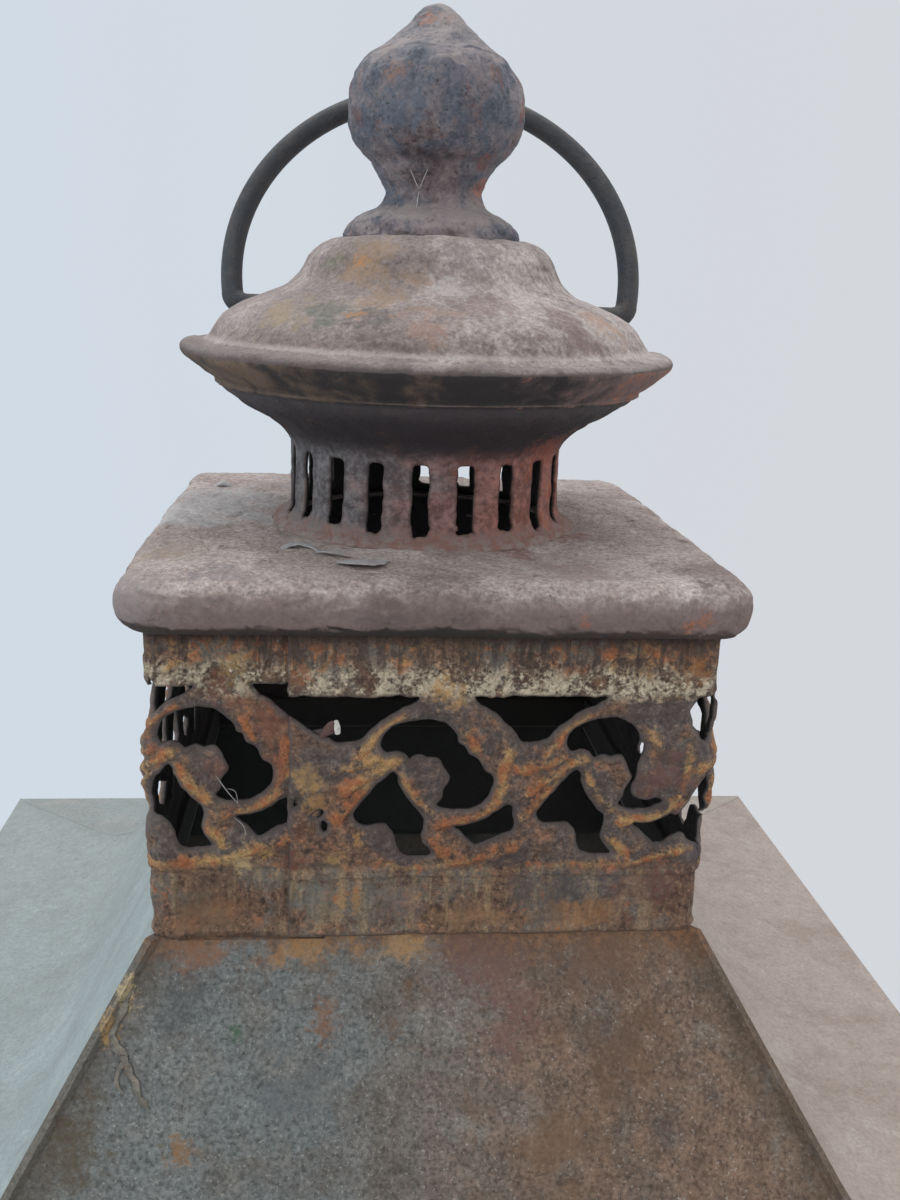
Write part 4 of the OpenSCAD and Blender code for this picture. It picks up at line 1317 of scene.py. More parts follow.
@dataclass
class PiercedSheet:
    """Sheet whose metal is where a field on a flat grid is above zero.

    The outline is found by marching squares, and the cut edge gets a wall of its own.
    """

    across: Array
    along: Array
    metal: Array
    loop: bool = False

    def flat(self) -> tuple[Array, Array, Array, Array]:
        """Vertices and triangles of the flat sheet.

        Returns:
            Places across and along, distances from the cut edge, and triangles.
        """
        rows, cols = self.metal.shape
        step = self.across[1] - self.across[0]
        after = np.roll(self.metal, -1, 0)
        inside = self.metal > 0
        turn_a = np.clip(self.metal / (self.metal - after + 1e-12), 0.14, 0.86)
        ahead = self.metal[:, 1:]
        here = self.metal[:, :-1]
        turn_b = np.clip(here / (here - ahead + 1e-12), 0.14, 0.86)
        s, z = np.meshgrid(self.across, self.along, indexing="ij")
        width = self.along[1] - self.along[0]
        all_s = np.concatenate([s.ravel(), (s + step * turn_a).ravel(), s[:, :-1].ravel()])
        all_z = np.concatenate([z.ravel(), z.ravel(), (z[:, :-1] + width * turn_b).ravel()])
        edge = np.concatenate([self.metal.ravel(), np.zeros(all_s.size - s.size)])
        i, j = np.meshgrid(
            np.arange(rows if self.loop else rows - 1), np.arange(cols - 1), indexing="ij"
        )
        far = (i + 1) % rows
        base_a, base_b = rows * cols, 2 * rows * cols
        corner = [i * cols + j, far * cols + j, far * cols + j + 1, i * cols + j + 1]
        cut = [
            base_a + i * cols + j, base_b + far * (cols - 1) + j,
            base_a + i * cols + j + 1, base_b + i * (cols - 1) + j,
        ]
        held = [inside[i, j], inside[far, j], inside[far, j + 1], inside[i, j + 1]]
        case = sum(h.astype(int) << k for k, h in enumerate(held))
        found = []
        for kind in range(1, 16):
            chosen = case == kind
            has = [kind >> k & 1 for k in range(4)]
            ring = []
            for k in range(4):
                if has[k]:
                    ring.append(corner[k][chosen])
                if has[k] != has[(k + 1) % 4]:
                    ring.append(cut[k][chosen])
            found += [
                np.stack([ring[0], ring[k], ring[k + 1]], -1) for k in range(1, len(ring) - 1)
            ]
        return all_s, all_z, edge, np.concatenate(found)

    @staticmethod
    def shell(front: Array, back: Array, faces: Array) -> tuple[Array, Array]:
        """Closed shell of a front and a back skin, joined by a wall along the free edges.

        Args:
            front: Vertices of the front skin.
            back: The same vertices on the back skin.
            faces: Triangles of one skin.

        Returns:
            Vertices and triangles.
        """
        count = len(front)
        edges = np.concatenate([faces[:, [0, 1]], faces[:, [1, 2]], faces[:, [2, 0]]])
        key = edges[:, 0] * count + edges[:, 1]
        twin = edges[:, 1] * count + edges[:, 0]
        p, q = edges[~np.isin(key, twin)].T
        walls = np.concatenate([
            np.stack([q, p, p + count], -1), np.stack([q, p + count, q + count], -1)
        ])
        return np.vstack([front, back]), np.concatenate([faces, faces[:, ::-1] + count, walls])


def depth_in(x: Array, z: Array, outline: Array) -> Array:
    """Depth of points inside a closed outline: the least distance to any side.

    A point is inside where a level ray to the right crosses the sides an odd number of times.

    Args:
        x: First coordinates of the points.
        z: Second coordinates.
        outline: Corners, shape (n, 2).

    Returns:
        One depth a point, negative outside.
    """
    p, q = outline, np.roll(outline, -1, 0)
    side = q - p
    dx, dz = x[..., None] - p[:, 0], z[..., None] - p[:, 1]
    share = np.clip((dx * side[:, 0] + dz * side[:, 1]) / (side**2).sum(1), 0.0, 1.0)
    far = np.hypot(dx - share * side[:, 0], dz - share * side[:, 1]).min(-1)
    spans = (p[:, 1] > z[..., None]) != (q[:, 1] > z[..., None])
    rise = np.where(np.abs(side[:, 1]) < 1e-9, 1e-9, side[:, 1])
    right = x[..., None] < p[:, 0] + side[:, 0] * dz / rise
    return np.where((spans & right).sum(-1) % 2 == 1, far, -far)


@dataclass
class Scroll:
    """Openings of one scroll: place from the trunk on its left, and height on the strip.

    Reach holds the ranges of place and height in which all openings lie.
    """

    gap: Outline = (
        (19.5, -29), (18.3, -30), (16.3, -31.2), (13.8, -32.3), (11.2, -34), (9, -35.7),
        (7, -37.7), (5, -39.8), (2.3, -40.5), (-0.6, -40.4), (-2.3, -38.9), (-4.4, -36.4),
        (-6.6, -34.2), (-9.2, -32.2), (-11.7, -30.8), (-12.9, -29),
    )
    eye: Outline = (
        (9.6, -40.4), (10.5, -38.4), (12.4, -36.6), (15.2, -35.2), (18.2, -34.5), (22, -34.5),
        (25.2, -35.8), (27.7, -38.5), (28.3, -40.6), (30, -41.5), (31, -43.5), (33, -44.6),
        (34, -46.5), (34.8, -48), (36.8, -49.2), (37.2, -51.5), (36.5, -54), (35, -56),
        (32.5, -57.5), (29.5, -58.3), (26.5, -58.3), (24.5, -57.6), (23.6, -56.6), (24.8, -55),
        (25, -53), (26.3, -51), (26.7, -49.5), (25.7, -47.8), (24.9, -46), (24, -44.5),
        (22.7, -44.2), (21, -44.6), (19.5, -44), (18, -44.3), (16.7, -44.9), (15.3, -43.2),
        (13.4, -42.5), (11.3, -43), (10.1, -42),
    )
    fork: Outline = (
        (12.7, -48.1), (10.7, -49.8), (8.4, -51.9), (7.2, -54), (5, -57), (3.7, -59),
        (3.9, -60.8), (5.6, -62), (8.4, -61.8), (10.9, -61.9), (12.5, -63.1), (13.7, -65.2),
        (14.2, -68), (15.3, -69.8), (18.6, -70.6), (22.3, -70.6), (22.5, -69.6), (21.3, -68.2),
        (20.2, -66.6), (19.9, -65), (20.5, -62.5), (20.4, -60.2), (18.7, -58.1), (16.7, -55.8),
        (15.2, -53.5), (14, -51), (13.8, -49.2),
    )
    lens: Outline = (
        (28, -62.6), (30.5, -62.2), (33.5, -61.4), (36.5, -59.9), (39, -58.2), (41, -57.3),
        (42, -57.8), (42.3, -60), (42.7, -62), (42, -63.6), (39.5, -64.7), (36.5, -66.2),
        (34, -67.6), (33, -67.3), (31.5, -65.6), (29.8, -64),
    )
    veins: tuple[Outline, ...] = (
        ((4.6, -43.8), (7.4, -40.2), (9.4, -37.4), (12, -35.4), (14.6, -34)),
        ((40.5, -42.5), (39.6, -47), (39, -52), (37.4, -56.6), (33, -59.9), (28, -61.4),
         (24.4, -61.6)),
        ((-1.5, -47.2), (5, -45.8), (9, -44.2)),
        ((1, -53.5), (4, -51), (8, -48), (12, -45.3), (14.5, -44.4)),
        ((0, -60), (3, -56.5), (6, -53), (7.2, -51.5)),
        ((15, -49), (17, -52), (19, -55), (21.5, -57.6)),
        ((30.2, -37.5), (32.4, -42)),
        ((22.6, -66.3), (25.6, -69)),
        ((3, -74), (23, -74), (27, -72.8), (31, -71.5), (35, -70.2), (40, -68.4), (43, -67.8)),
    )
    furrows: tuple[Outline, ...] = (
        ((-1, -50.4), (5, -47.6), (10.4, -45.4)),
        ((1.4, -56.6), (4.6, -52.6), (8, -50)),
        ((19.6, -48.4), (19.8, -51), (22.4, -51.6), (23.4, -49.4), (21.6, -48)),
        ((10.5, -66), (7, -69.4), (1, -69.4), (-2.6, -66.6)),
        ((26.6, -64.4), (26, -62.8)),
        ((0, -76.6), (20, -76.4), (44, -76.6)),
    )
    reach: tuple[Point, Point] = ((-16.0, 47.0), (-76.0, -24.0))

    def depth(self, x: Array, z: Array) -> Array:
        """Depth inside the nearest opening.

        Args:
            x: Places from the trunk.
            z: Heights on the strip.

        Returns:
            One depth a point, negative in the metal.
        """
        far = np.full(x.shape, -9.0)
        (left, right), (low, high) = self.reach
        near = (x > left) & (x < right) & (z > low) & (z < high)
        loops = [curve(loop, 4, closed=True) for loop in (self.eye, self.fork, self.lens)]
        loops.append(curve(self.gap, 4))
        far[near] = np.max([depth_in(x[near], z[near], loop) for loop in loops], axis=0)
        return far


class Side(Enum):
    """Sides of the square, counted the way the strip runs, with a quarter turn each."""

    FRONT = 0
    RIGHT = 1
    BACK = 2
    LEFT = 3


@dataclass
class GalleryPart:
    """One stretch of the pierced strip on one side of the square.

    Attributes:
        name: Name of the piece.
        side: Side of the square.
        start: Where the stretch starts, from the middle of the side.
        end: Where it ends.
        lap: Number of turns made by the strip before this stretch.
        inset: Depth by which the stretch lies behind the side's face past its bend.
        cell: Width of one grid cell.
        foot: Reach of the lower edge below the strip's drop.
        cuts: Outlines torn out of the stretch.
        patches: Outlines where the metal was never cut away, or is folded over.
    """

    name: str
    side: Side
    start: float = -68.0
    end: float = 68.0
    lap: int = 0
    inset: float = 0.0
    cell: float = 0.8
    foot: float = 0.5
    cuts: tuple[Outline, ...] = ()
    patches: tuple[Outline, ...] = ()


@dataclass
class Gallery:
    """Stamped and pierced strip folded round the four sides, lapped at the front left.

    Heights are counted from the plate's upper face. Short is the length of one turn that
    the scrolls leave free, and flaked is the outline of the flake missing from the band.
    """

    width: float = 136.0
    drop: float = 92.0
    top: float = -1.2
    bend: float = 4.0
    scrolls: int = 11
    first_trunk: float = -23.0
    short: float = 52.7
    lap_rise: float = 2.5
    sheet: float = 0.9
    stem_height: float = 1.15
    flute_pitch: float = 2.9
    parts: tuple[GalleryPart, ...] = (
        GalleryPart(
            "gallery_front", Side.FRONT, start=-35.0, cell=0.5,
            cuts=(
                ((-36, -29.8), (-24, -29.8), (-23.5, -38), (-25, -39.3), (-28.2, -38.6),
                 (-31, -36.7), (-34, -34.2), (-36, -33)),
                ((67.6, -50), (64.4, -53.5), (62.6, -57.3), (60.8, -59.6), (57, -60.9),
                 (54, -61.6), (51, -62), (52.5, -63.8), (55, -66.4), (57, -67.3), (59, -66),
                 (60, -64.4), (62.5, -65), (64.3, -67), (72, -67), (72, -50)),
                ((-32.2, -54.4), (-33, -57.2), (-34.2, -57.6), (-33.2, -55)),
                ((-29.4, -59.4), (-27.4, -58.2), (-26.6, -58.8), (-27.4, -60), (-29, -60)),
                ((-26.6, -60.8), (-25.6, -62.2), (-26.4, -63.8), (-27.6, -62.2)),
            ),
            patches=(
                ((44, -28), (61.5, -28), (61.4, -32.4), (61.9, -35), (62, -37.5), (61.1, -40),
                 (63, -40.3), (65.5, -39.6), (66.8, -41), (66.3, -42.6), (68.2, -44), (72, -47),
                 (72, -50), (64.6, -53.5), (62.7, -57.3), (60, -59.8), (57.5, -57.5),
                 (55, -55.2), (52, -55.6), (48.9, -54.6), (48.3, -52), (49.3, -49.5),
                 (49.4, -46.5), (50, -44), (50.9, -41.5), (51.1, -38.5), (49.5, -36)),
            ),
        ),
        GalleryPart(
            "gallery_front_left", Side.FRONT, end=-27.0, lap=1, inset=1.35, cell=0.5, foot=1.6,
            cuts=(((-72, -25.4), (-66.2, -25.6), (-65.6, -30.6), (-69, -31.5), (-72, -31)),),
        ),
        GalleryPart(
            "gallery_right", Side.RIGHT,
            cuts=(((-72, -60), (-65.4, -60), (-64.8, -66.5), (-72, -66.5)),),
            patches=(
                ((-72, -29), (-66.6, -29), (-65.2, -34), (-66.4, -38.4), (-72, -38.4)),
                ((-72, -43.4), (-63, -42), (-61, -50), (-64.6, -59.6), (-72, -59.6)),
            ),
        ),
        GalleryPart("gallery_back", Side.BACK),
        GalleryPart("gallery_left", Side.LEFT),
    )
    flaked: Outline = (
        (-45, -26), (-41.5, -24.5), (-40, -20.5), (-37.5, -18.5), (-36.6, -15.5), (-30, -15.5),
        (-30, -31), (-40, -29), (-45.5, -28),
    )
    finish: Finish = GalleryRust(
        stains=(
            Stain((-30, -68, -50), 5, (178, 142, 92), 0.75),
            Stain((-29, -68, -56), 3.5, (172, 132, 74), 0.6),
            Stain((-32, -68, -63), 3, (92, 56, 42), 0.7),
            Stain((-18.6, -68, -65.6), 2.6, (190, 142, 82), 0.85),
            Stain((-24, -68, -71), 3.4, (172, 142, 92), 0.7),
            Stain((2, -68, -27.5), 4.6, (190, 150, 98), 0.85),
            Stain((-32, -68, -24), 3, (162, 106, 72), 0.75),
            Stain((23, -68, -79), 5, (84, 74, 72), 0.9),
            Stain((34, -68, -79), 6, (78, 73, 74), 1),
            Stain((45, -68, -78.5), 5, (82, 76, 76), 1),
            Stain((38, -68, -87), 13, (158, 114, 76), 0.65, 0.35),
            Stain((9, -68, -87.5), 11, (150, 116, 82), 0.6, 0.35),
            Stain((58, -68, -80), 7, (106, 72, 64), 0.9),
            Stain((-52, -67, -86), 11, (150, 108, 78), 0.7, 0.4),
            Stain((-22, -68, -82), 1.6, (168, 134, 92), 0.9, 3.5),
            Stain((-18.4, -68, -82.5), 1.5, (160, 122, 82), 0.9, 3.5),
            Stain((-34, -68, -72), 3.6, (120, 68, 54), 0.75),
            Stain((-46, -68, -72.5), 3.6, (196, 172, 128), 0.75),
            Stain((-40, -68, -69.5), 2.6, (186, 150, 96), 0.7),
            Stain((-40, -67, -36), 6, (124, 76, 60), 0.7),
            Stain((-39, -67, -48), 5, (128, 76, 58), 0.7),
            Stain((-50, -67, -28), 5, (132, 84, 70), 0.6),
            Stain((-52, -67, -47), 4.5, (118, 84, 76), 0.6),
            Stain((-48, -67, -22), 4.5, (176, 146, 96), 0.7),
            Stain((-56, -67, -84), 9, (112, 96, 78), 0.6),
            Stain((-29, -68, -82), 6, (108, 112, 106), 0.6),
            Stain((-7, -68, -84), 6, (114, 96, 92), 0.6),
            Stain((30, -68, -82), 9, (88, 78, 76), 0.6),
            Stain((50, -68, -80), 8, (114, 78, 66), 0.6),
            Stain((57, -68, -48), 6.5, (112, 78, 68), 0.75),
            Stain((52, -68, -52), 4, (92, 62, 58), 0.75),
            Stain((64, -67.5, -70), 5, (84, 72, 74)),
            Stain((62, -68, -22), 4, (168, 112, 62), 0.6),
            Stain((-67, -66, -62), 3.5, (88, 88, 86), 0.7),
            Stain((-67, -66, -84), 4, (84, 84, 82), 0.7),
            Stain((-67, -66, -40), 3.5, (90, 88, 88), 0.7),
        ),
    )

    def pitch(self) -> float:
        """Distance from one trunk to the next."""
        return (4 * self.width - self.short) / self.scrolls

    def start(self, part: GalleryPart) -> float:
        """Length of strip from the middle of the front to the middle of the part's side."""
        return (part.side.value + part.lap * 4) * self.width

    def place(self, part: GalleryPart, u: Array, z: Array, out: Array) -> Array:
        """Place of the folded strip: flat to the bend, then round its arc to the diagonal.

        Args:
            part: The stretch of strip.
            u: Places along it.
            z: Heights.
            out: Distances in front of the face.

        Returns:
            Points, shape (..., 3).
        """
        half, r = self.width / 2, self.bend
        over = np.clip(np.abs(u) - (half - r), 0.0, r) / r * (math.pi / 4)
        inset = part.inset * ease(u, -64.0, -55.0)
        wide = r + out - inset
        x = np.sign(u) * (np.minimum(np.abs(u), half - r) + wide * np.sin(over))
        y = -(half - r) - wide * np.cos(over)
        turn = part.side.value * math.pi / 2
        c, s = math.cos(turn), math.sin(turn)
        return np.stack([x * c - y * s, x * s + y * c, z], -1)

    def level(self, part: GalleryPart, u: Array, z: Array) -> Array:
        """Height on the strip, which rises a little on its way round."""
        return z - self.lap_rise * (u + self.start(part)) / (4 * self.width)

    def trunks(self, part: GalleryPart) -> Array:
        """Finds the trunks whose scrolls reach into the stretch.

        Args:
            part: The stretch of strip.

        Returns:
            Their places along it.
        """
        numbers = np.arange(self.scrolls if part.lap else 0, self.scrolls + (2 if part.lap else 1))
        found = self.first_trunk + self.pitch() * numbers - self.start(part)
        return found[(found > -self.width / 2 - 45) & (found < self.width / 2 + 15)]

    def lines(self, part: GalleryPart, u: Array, z: Array, lines: Sequence[Outline]) -> Array:
        """Distance to the nearest of some lines that every scroll has."""
        height = self.level(part, u, z)
        return np.min([distance(u - trunk, height, lines) for trunk in self.trunks(part)], axis=0)

    def field(self, part: GalleryPart, u: Array, z: Array) -> Array:
        """Distance from the nearest edge, with ragged rust.

        Args:
            part: The stretch of strip.
            u: Places along it.
            z: Heights.

        Returns:
            One distance a point, positive in the metal.
        """
        height = self.level(part, u, z)
        metal = np.minimum(z + self.drop + part.foot, self.top - z)
        for trunk in self.trunks(part):
            metal = np.minimum(metal, -Scroll().depth(u - trunk, height))
        for outline in part.patches:
            metal = np.maximum(metal, depth_in(u, z, curve(outline, 3, closed=True)))
        for outline in part.cuts:
            metal = np.minimum(metal, -depth_in(u, z, curve(outline, 3, closed=True)))
        if part.lap:
            metal = np.minimum(metal, part.end - u)
        elif part.side is Side.FRONT:
            metal = np.minimum(metal, u - part.start)
        spot = self.place(part, u, z, np.zeros_like(u))
        inner = ease(z, -self.drop, 3.0 - self.drop) * ease(-z, 12.0, 15.0)
        ragged = 0.3 * noise(spot, 3.1, 101) + 0.2 * noise(spot, 1.3, 102)
        return metal + ragged * inner

    def relief(self, part: GalleryPart, u: Array, z: Array, edge: Array, vein: Array) -> Array:
        """Height of the front face: pillows, veins, beads, flutes, flakes and scale.

        Args:
            part: The stretch of strip.
            u: Places along it.
            z: Heights.
            edge: Distances from the nearest edge.
            vein: Shares of the veins, 1 on their middle lines.

        Returns:
            One height a point.
        """
        strip_z = self.level(part, u, z)
        spot = self.place(part, u, z, np.zeros_like(u))
        zone = ease(strip_z, -75.0, -70.0) * (1.0 - ease(strip_z, -30.0, -27.0))
        pillow = self.stem_height * (1.0 - np.exp(-np.maximum(edge, 0.0) / 1.6)) * zone
        furrow = np.exp(-(self.lines(part, u, z, Scroll().furrows) / 0.7) ** 2)
        pillow = pillow + (0.75 * vein - 0.55 * furrow) * ease(edge, 0.1, 1.4)
        bead = 0.75 * hump(strip_z, -75.9, 0.9) + 0.65 * hump(z, -91.0, 0.9)
        patchy = ease(noise(spot, 17.0, 111), -0.25, 0.3)
        run = u + self.start(part)
        flute = 0.32 * np.cos(2 * math.pi * run / self.flute_pitch) * patchy
        rows = ease(strip_z, -21.5, -19.5) * (1.0 - ease(strip_z, -15.5, -14.0))
        rows = rows + ease(strip_z, -88.5, -86.5) * (1.0 - ease(strip_z, -80.5, -79.0))
        scale = 0.2 * rough(spot, 4.2, 3, 115)
        flake = 0.3 * ease(noise(spot, 8.0, 121), 0.02, 0.16)
        flake = flake + 0.2 * ease(noise(spot, 3.4, 124), 0.25, 0.4)
        lost = 0.0
        if part.lap:
            lost = depth_in(u, z, np.asarray(self.flaked, float)) + 0.5 * noise(spot, 1.6, 131)
            lost = 0.8 * ease(lost, -0.1, 0.4)
        rim = 0.3 * (1.0 - ease(edge, 0.0, 0.7))
        seam = 0.5 * hump(strip_z, -29.6, 1.0) * ease(edge, 0.4, 1.6)
        fold = 0.0
        if part.side is Side.FRONT and not part.lap:
            fold = 1.5 * ease(u, 59.0, 60.2) * ease(u, 66.0, 60.2) * hump(z, -69.0, 5.0)
        total = pillow + bead + flute * rows + scale + flake + seam + fold
        return total - lost - rim - 0.15

    def build(self) -> None:
        """Stores the stretches in place of the CAD strip."""
        for part in self.parts:
            pad = part.cell
            start = part.start - (pad if part.side is Side.FRONT and not part.lap else 0.0)
            end = part.end + (pad if part.lap else 0.0)
            across = np.linspace(start, end, round((end - start) / part.cell) + 1)
            along = np.linspace(
                -self.drop - part.foot - pad, self.top + pad,
                round((self.drop + part.foot + self.top + 2 * pad) / part.cell) + 1,
            )
            u, z = np.meshgrid(across, along, indexing="ij")
            sheet = PiercedSheet(across, along, self.field(part, u, z))
            u, z, edge, faces = sheet.flat()
            vein = np.exp(-(self.lines(part, u, z, Scroll().veins) / 1.8) ** 2)
            height = self.relief(part, u, z, edge, vein**2)
            front = self.place(part, u, z, height)
            back = self.place(part, u, z, height * 0.8 - self.sheet)
            points, faces = sheet.shell(front, back, faces)
            tone = np.clip(edge / 4.0, 0.0, 1.0)
            store(
                part.name, points, faces, self.finish, ("pierced_gallery",),
                marks={"tone": np.r_[tone, tone + INSIDE], "vein": np.tile(vein, 2)},
            )


@dataclass
class VentCollar:
    """Collar under the dome: a flare, a slotted drum and a soldered foot.

    The shape lists radius and height of its outer face, from the dome's seam to the foot.
    """

    shape: Outline = (
        (56.3, 39.2), (56.2, 36.9), (53.4, 34.4), (49.6, 31.9), (45.0, 29.4), (41.2, 26.8),
        (38.7, 24.2), (37.6, 22.4), (37.2, 20.5), (37.2, 16), (37.2, 10), (37.3, 6.0),
        (37.7, 4.0), (38.5, 2.5), (39.8, 1.4), (41.2, 0.6), (42.4, -0.6),
    )
    drum: float = 37.2
    slots: int = 20
    slot_width: float = 4.4
    slot_low: float = 3.6
    slot_high: float = 20.6
    slot_round: float = 1.0
    first: float = math.radians(12.5)
    sheet: float = 1.0
    cell: float = 0.6
    finish: Finish = CollarRust()

    def build(self) -> None:
        """Stores the collar: profile over the angle, less round-ended slots with ragged feet."""
        path = curve(self.shape, 10)
        length = np.linalg.norm(np.diff(path, axis=0), axis=1).sum()
        rows = round(length / self.cell) + 1
        path = resample(path, rows)
        normal = -sides(path)
        columns = round(2 * math.pi * self.drum / self.cell)
        across = np.linspace(0.0, 2 * math.pi, columns, endpoint=False)
        along = np.arange(rows + 2, dtype=float) - 1.0
        a, v = np.meshgrid(across, along, indexing="ij")
        z = np.interp(v, np.arange(rows), path[:, 1])
        spot = around(self.drum, a, z)
        each = 2 * math.pi / self.slots
        offset = (a + math.pi / 2 - self.first) / each
        number = np.round(offset)
        x = (offset - number) * each * self.drum
        half = self.slot_width / 2 * (1.0 + 0.08 * np.sin(number * 2.3)) - self.slot_round
        low = self.slot_low - 0.9 * (0.5 + 0.5 * np.sin(number * 1.7 + 1.0)) + self.slot_round
        near_z = np.clip(z, low, self.slot_high - self.slot_round)
        beside = np.maximum(np.abs(x + 0.2 * noise(spot, 4.0, 205)) - half, 0.0)
        metal = np.hypot(beside, z - near_z) - self.slot_round
        eaten = 0.12 + 0.55 * ease(z, 8.0, 4.0)
        torn = 0.16 * noise(spot, 2.2, 201) + eaten * noise(spot, 1.2, 202)
        metal = metal + torn * ease(z, 22.0, 18.0)
        metal = np.minimum(metal, np.minimum(v + 0.5, rows - 0.5 - v) * self.cell)
        sheet = PiercedSheet(across, along, metal, loop=True)
        s, v, edge, faces = sheet.flat()
        index = np.arange(rows)
        r, z = (np.interp(v, index, path[:, k]) for k in range(2))
        nr, nz = (np.interp(v, index, normal[:, k]) for k in range(2))
        spot = around(r, s, z)
        foot = ease(z, 5.0, 1.5)
        height = 0.14 * rough(spot, 4.0, 3, 211) + 0.2 * ease(noise(spot, 4.0, 216), 0.1, 0.3)
        height = height + foot * (0.25 + 0.6 * rough(spot, 4.0, 2, 218))
        height = height - 0.2 * (1.0 - ease(edge, 0.0, 0.7))
        skins = [
            around(r + nr * out, s, z + nz * out) for out in (height, height * 0.5 - self.sheet)
        ]
        points, faces = sheet.shell(*skins, faces)
        tone = np.clip(edge / 4.0, 0.0, 1.0)
        store(
            "vent_collar_drum", points, faces, self.finish, ("vent_collar",),
            marks={"tone": np.r_[tone, tone + INSIDE]},
        )


# Roof, body and studio


@dataclass
class Ribbon:
    """Flat or round strand along a path, closed at both ends.

    Attributes:
        path: Points of its middle line, heights from the plate's upper face.
        wide: Half widths, spaced evenly from the first end to the last.
        thick: Half thickness.
        up: Direction that the flat face looks in.
        ragged: Height of the notches along its edges.
    """

    path: tuple[Place, ...]
    wide: tuple[float, ...]
    thick: float
    up: Place = (0.0, 0.0, 1.0)
    ragged: float = 0.0

    def points(self, rows: int, columns: int) -> Array:
        """Ellipse p + w cos(a) s + t sin(a) n over the path, both ends drawn to a point.

        Args:
            rows: Number of sections.
            columns: Number of points round each.

        Returns:
            Points, shape (rows, columns, 3).
        """
        path = resample(curve(self.path, 8), rows)
        run = np.gradient(path, axis=0)
        run /= np.linalg.norm(run, axis=1, keepdims=True)
        side = np.cross(run, self.up)
        side /= np.linalg.norm(side, axis=1, keepdims=True)
        face = np.cross(side, run)
        t = np.linspace(0.0, 1.0, rows)
        w = np.interp(t, np.linspace(0.0, 1.0, len(self.wide)), self.wide)
        end = np.sqrt(np.clip(np.minimum(t, 1 - t) * rows / 3.0, 0.0, 1.0))
        a = np.linspace(0.0, 2 * math.pi, columns, endpoint=False)[None, :, None]
        edge = path[:, None, :] + np.cos(a) * side[:, None, :] * w[:, None, None]
        w = (w[:, None] + self.ragged * noise(edge, 1.7, 141)) * end[:, None]
        thick = (self.thick * end)[:, None, None]
        across = w[..., None] * np.cos(a) * side[:, None, :]
        return path[:, None, :] + across + thick * np.sin(a) * face[:, None, :]


def thread(start: Place, middle: Place, end: Place, half: float) -> Ribbon:
    """Round thread of a half thickness through three points."""
    return Ribbon((start, middle, end), (half, half), half)


@dataclass
class Loose:
    """A piece made of ribbons that lie on another one: flakes, peeled paint, threads."""

    name: str
    ribbons: tuple[Ribbon, ...]
    finish: Finish
    slot: str
    rows: int = 48
    columns: int = 16

    def build(self) -> None:
        """Stores the ribbons as one piece."""
        grids = [ribbon.points(self.rows, self.columns).reshape(-1, 3) for ribbon in self.ribbons]
        faces = grid_triangles(wrap(self.rows, self.columns, False))
        faces = np.concatenate([faces + k * self.rows * self.columns for k in range(len(grids))])
        store(self.name, np.concatenate(grids), faces, self.finish)


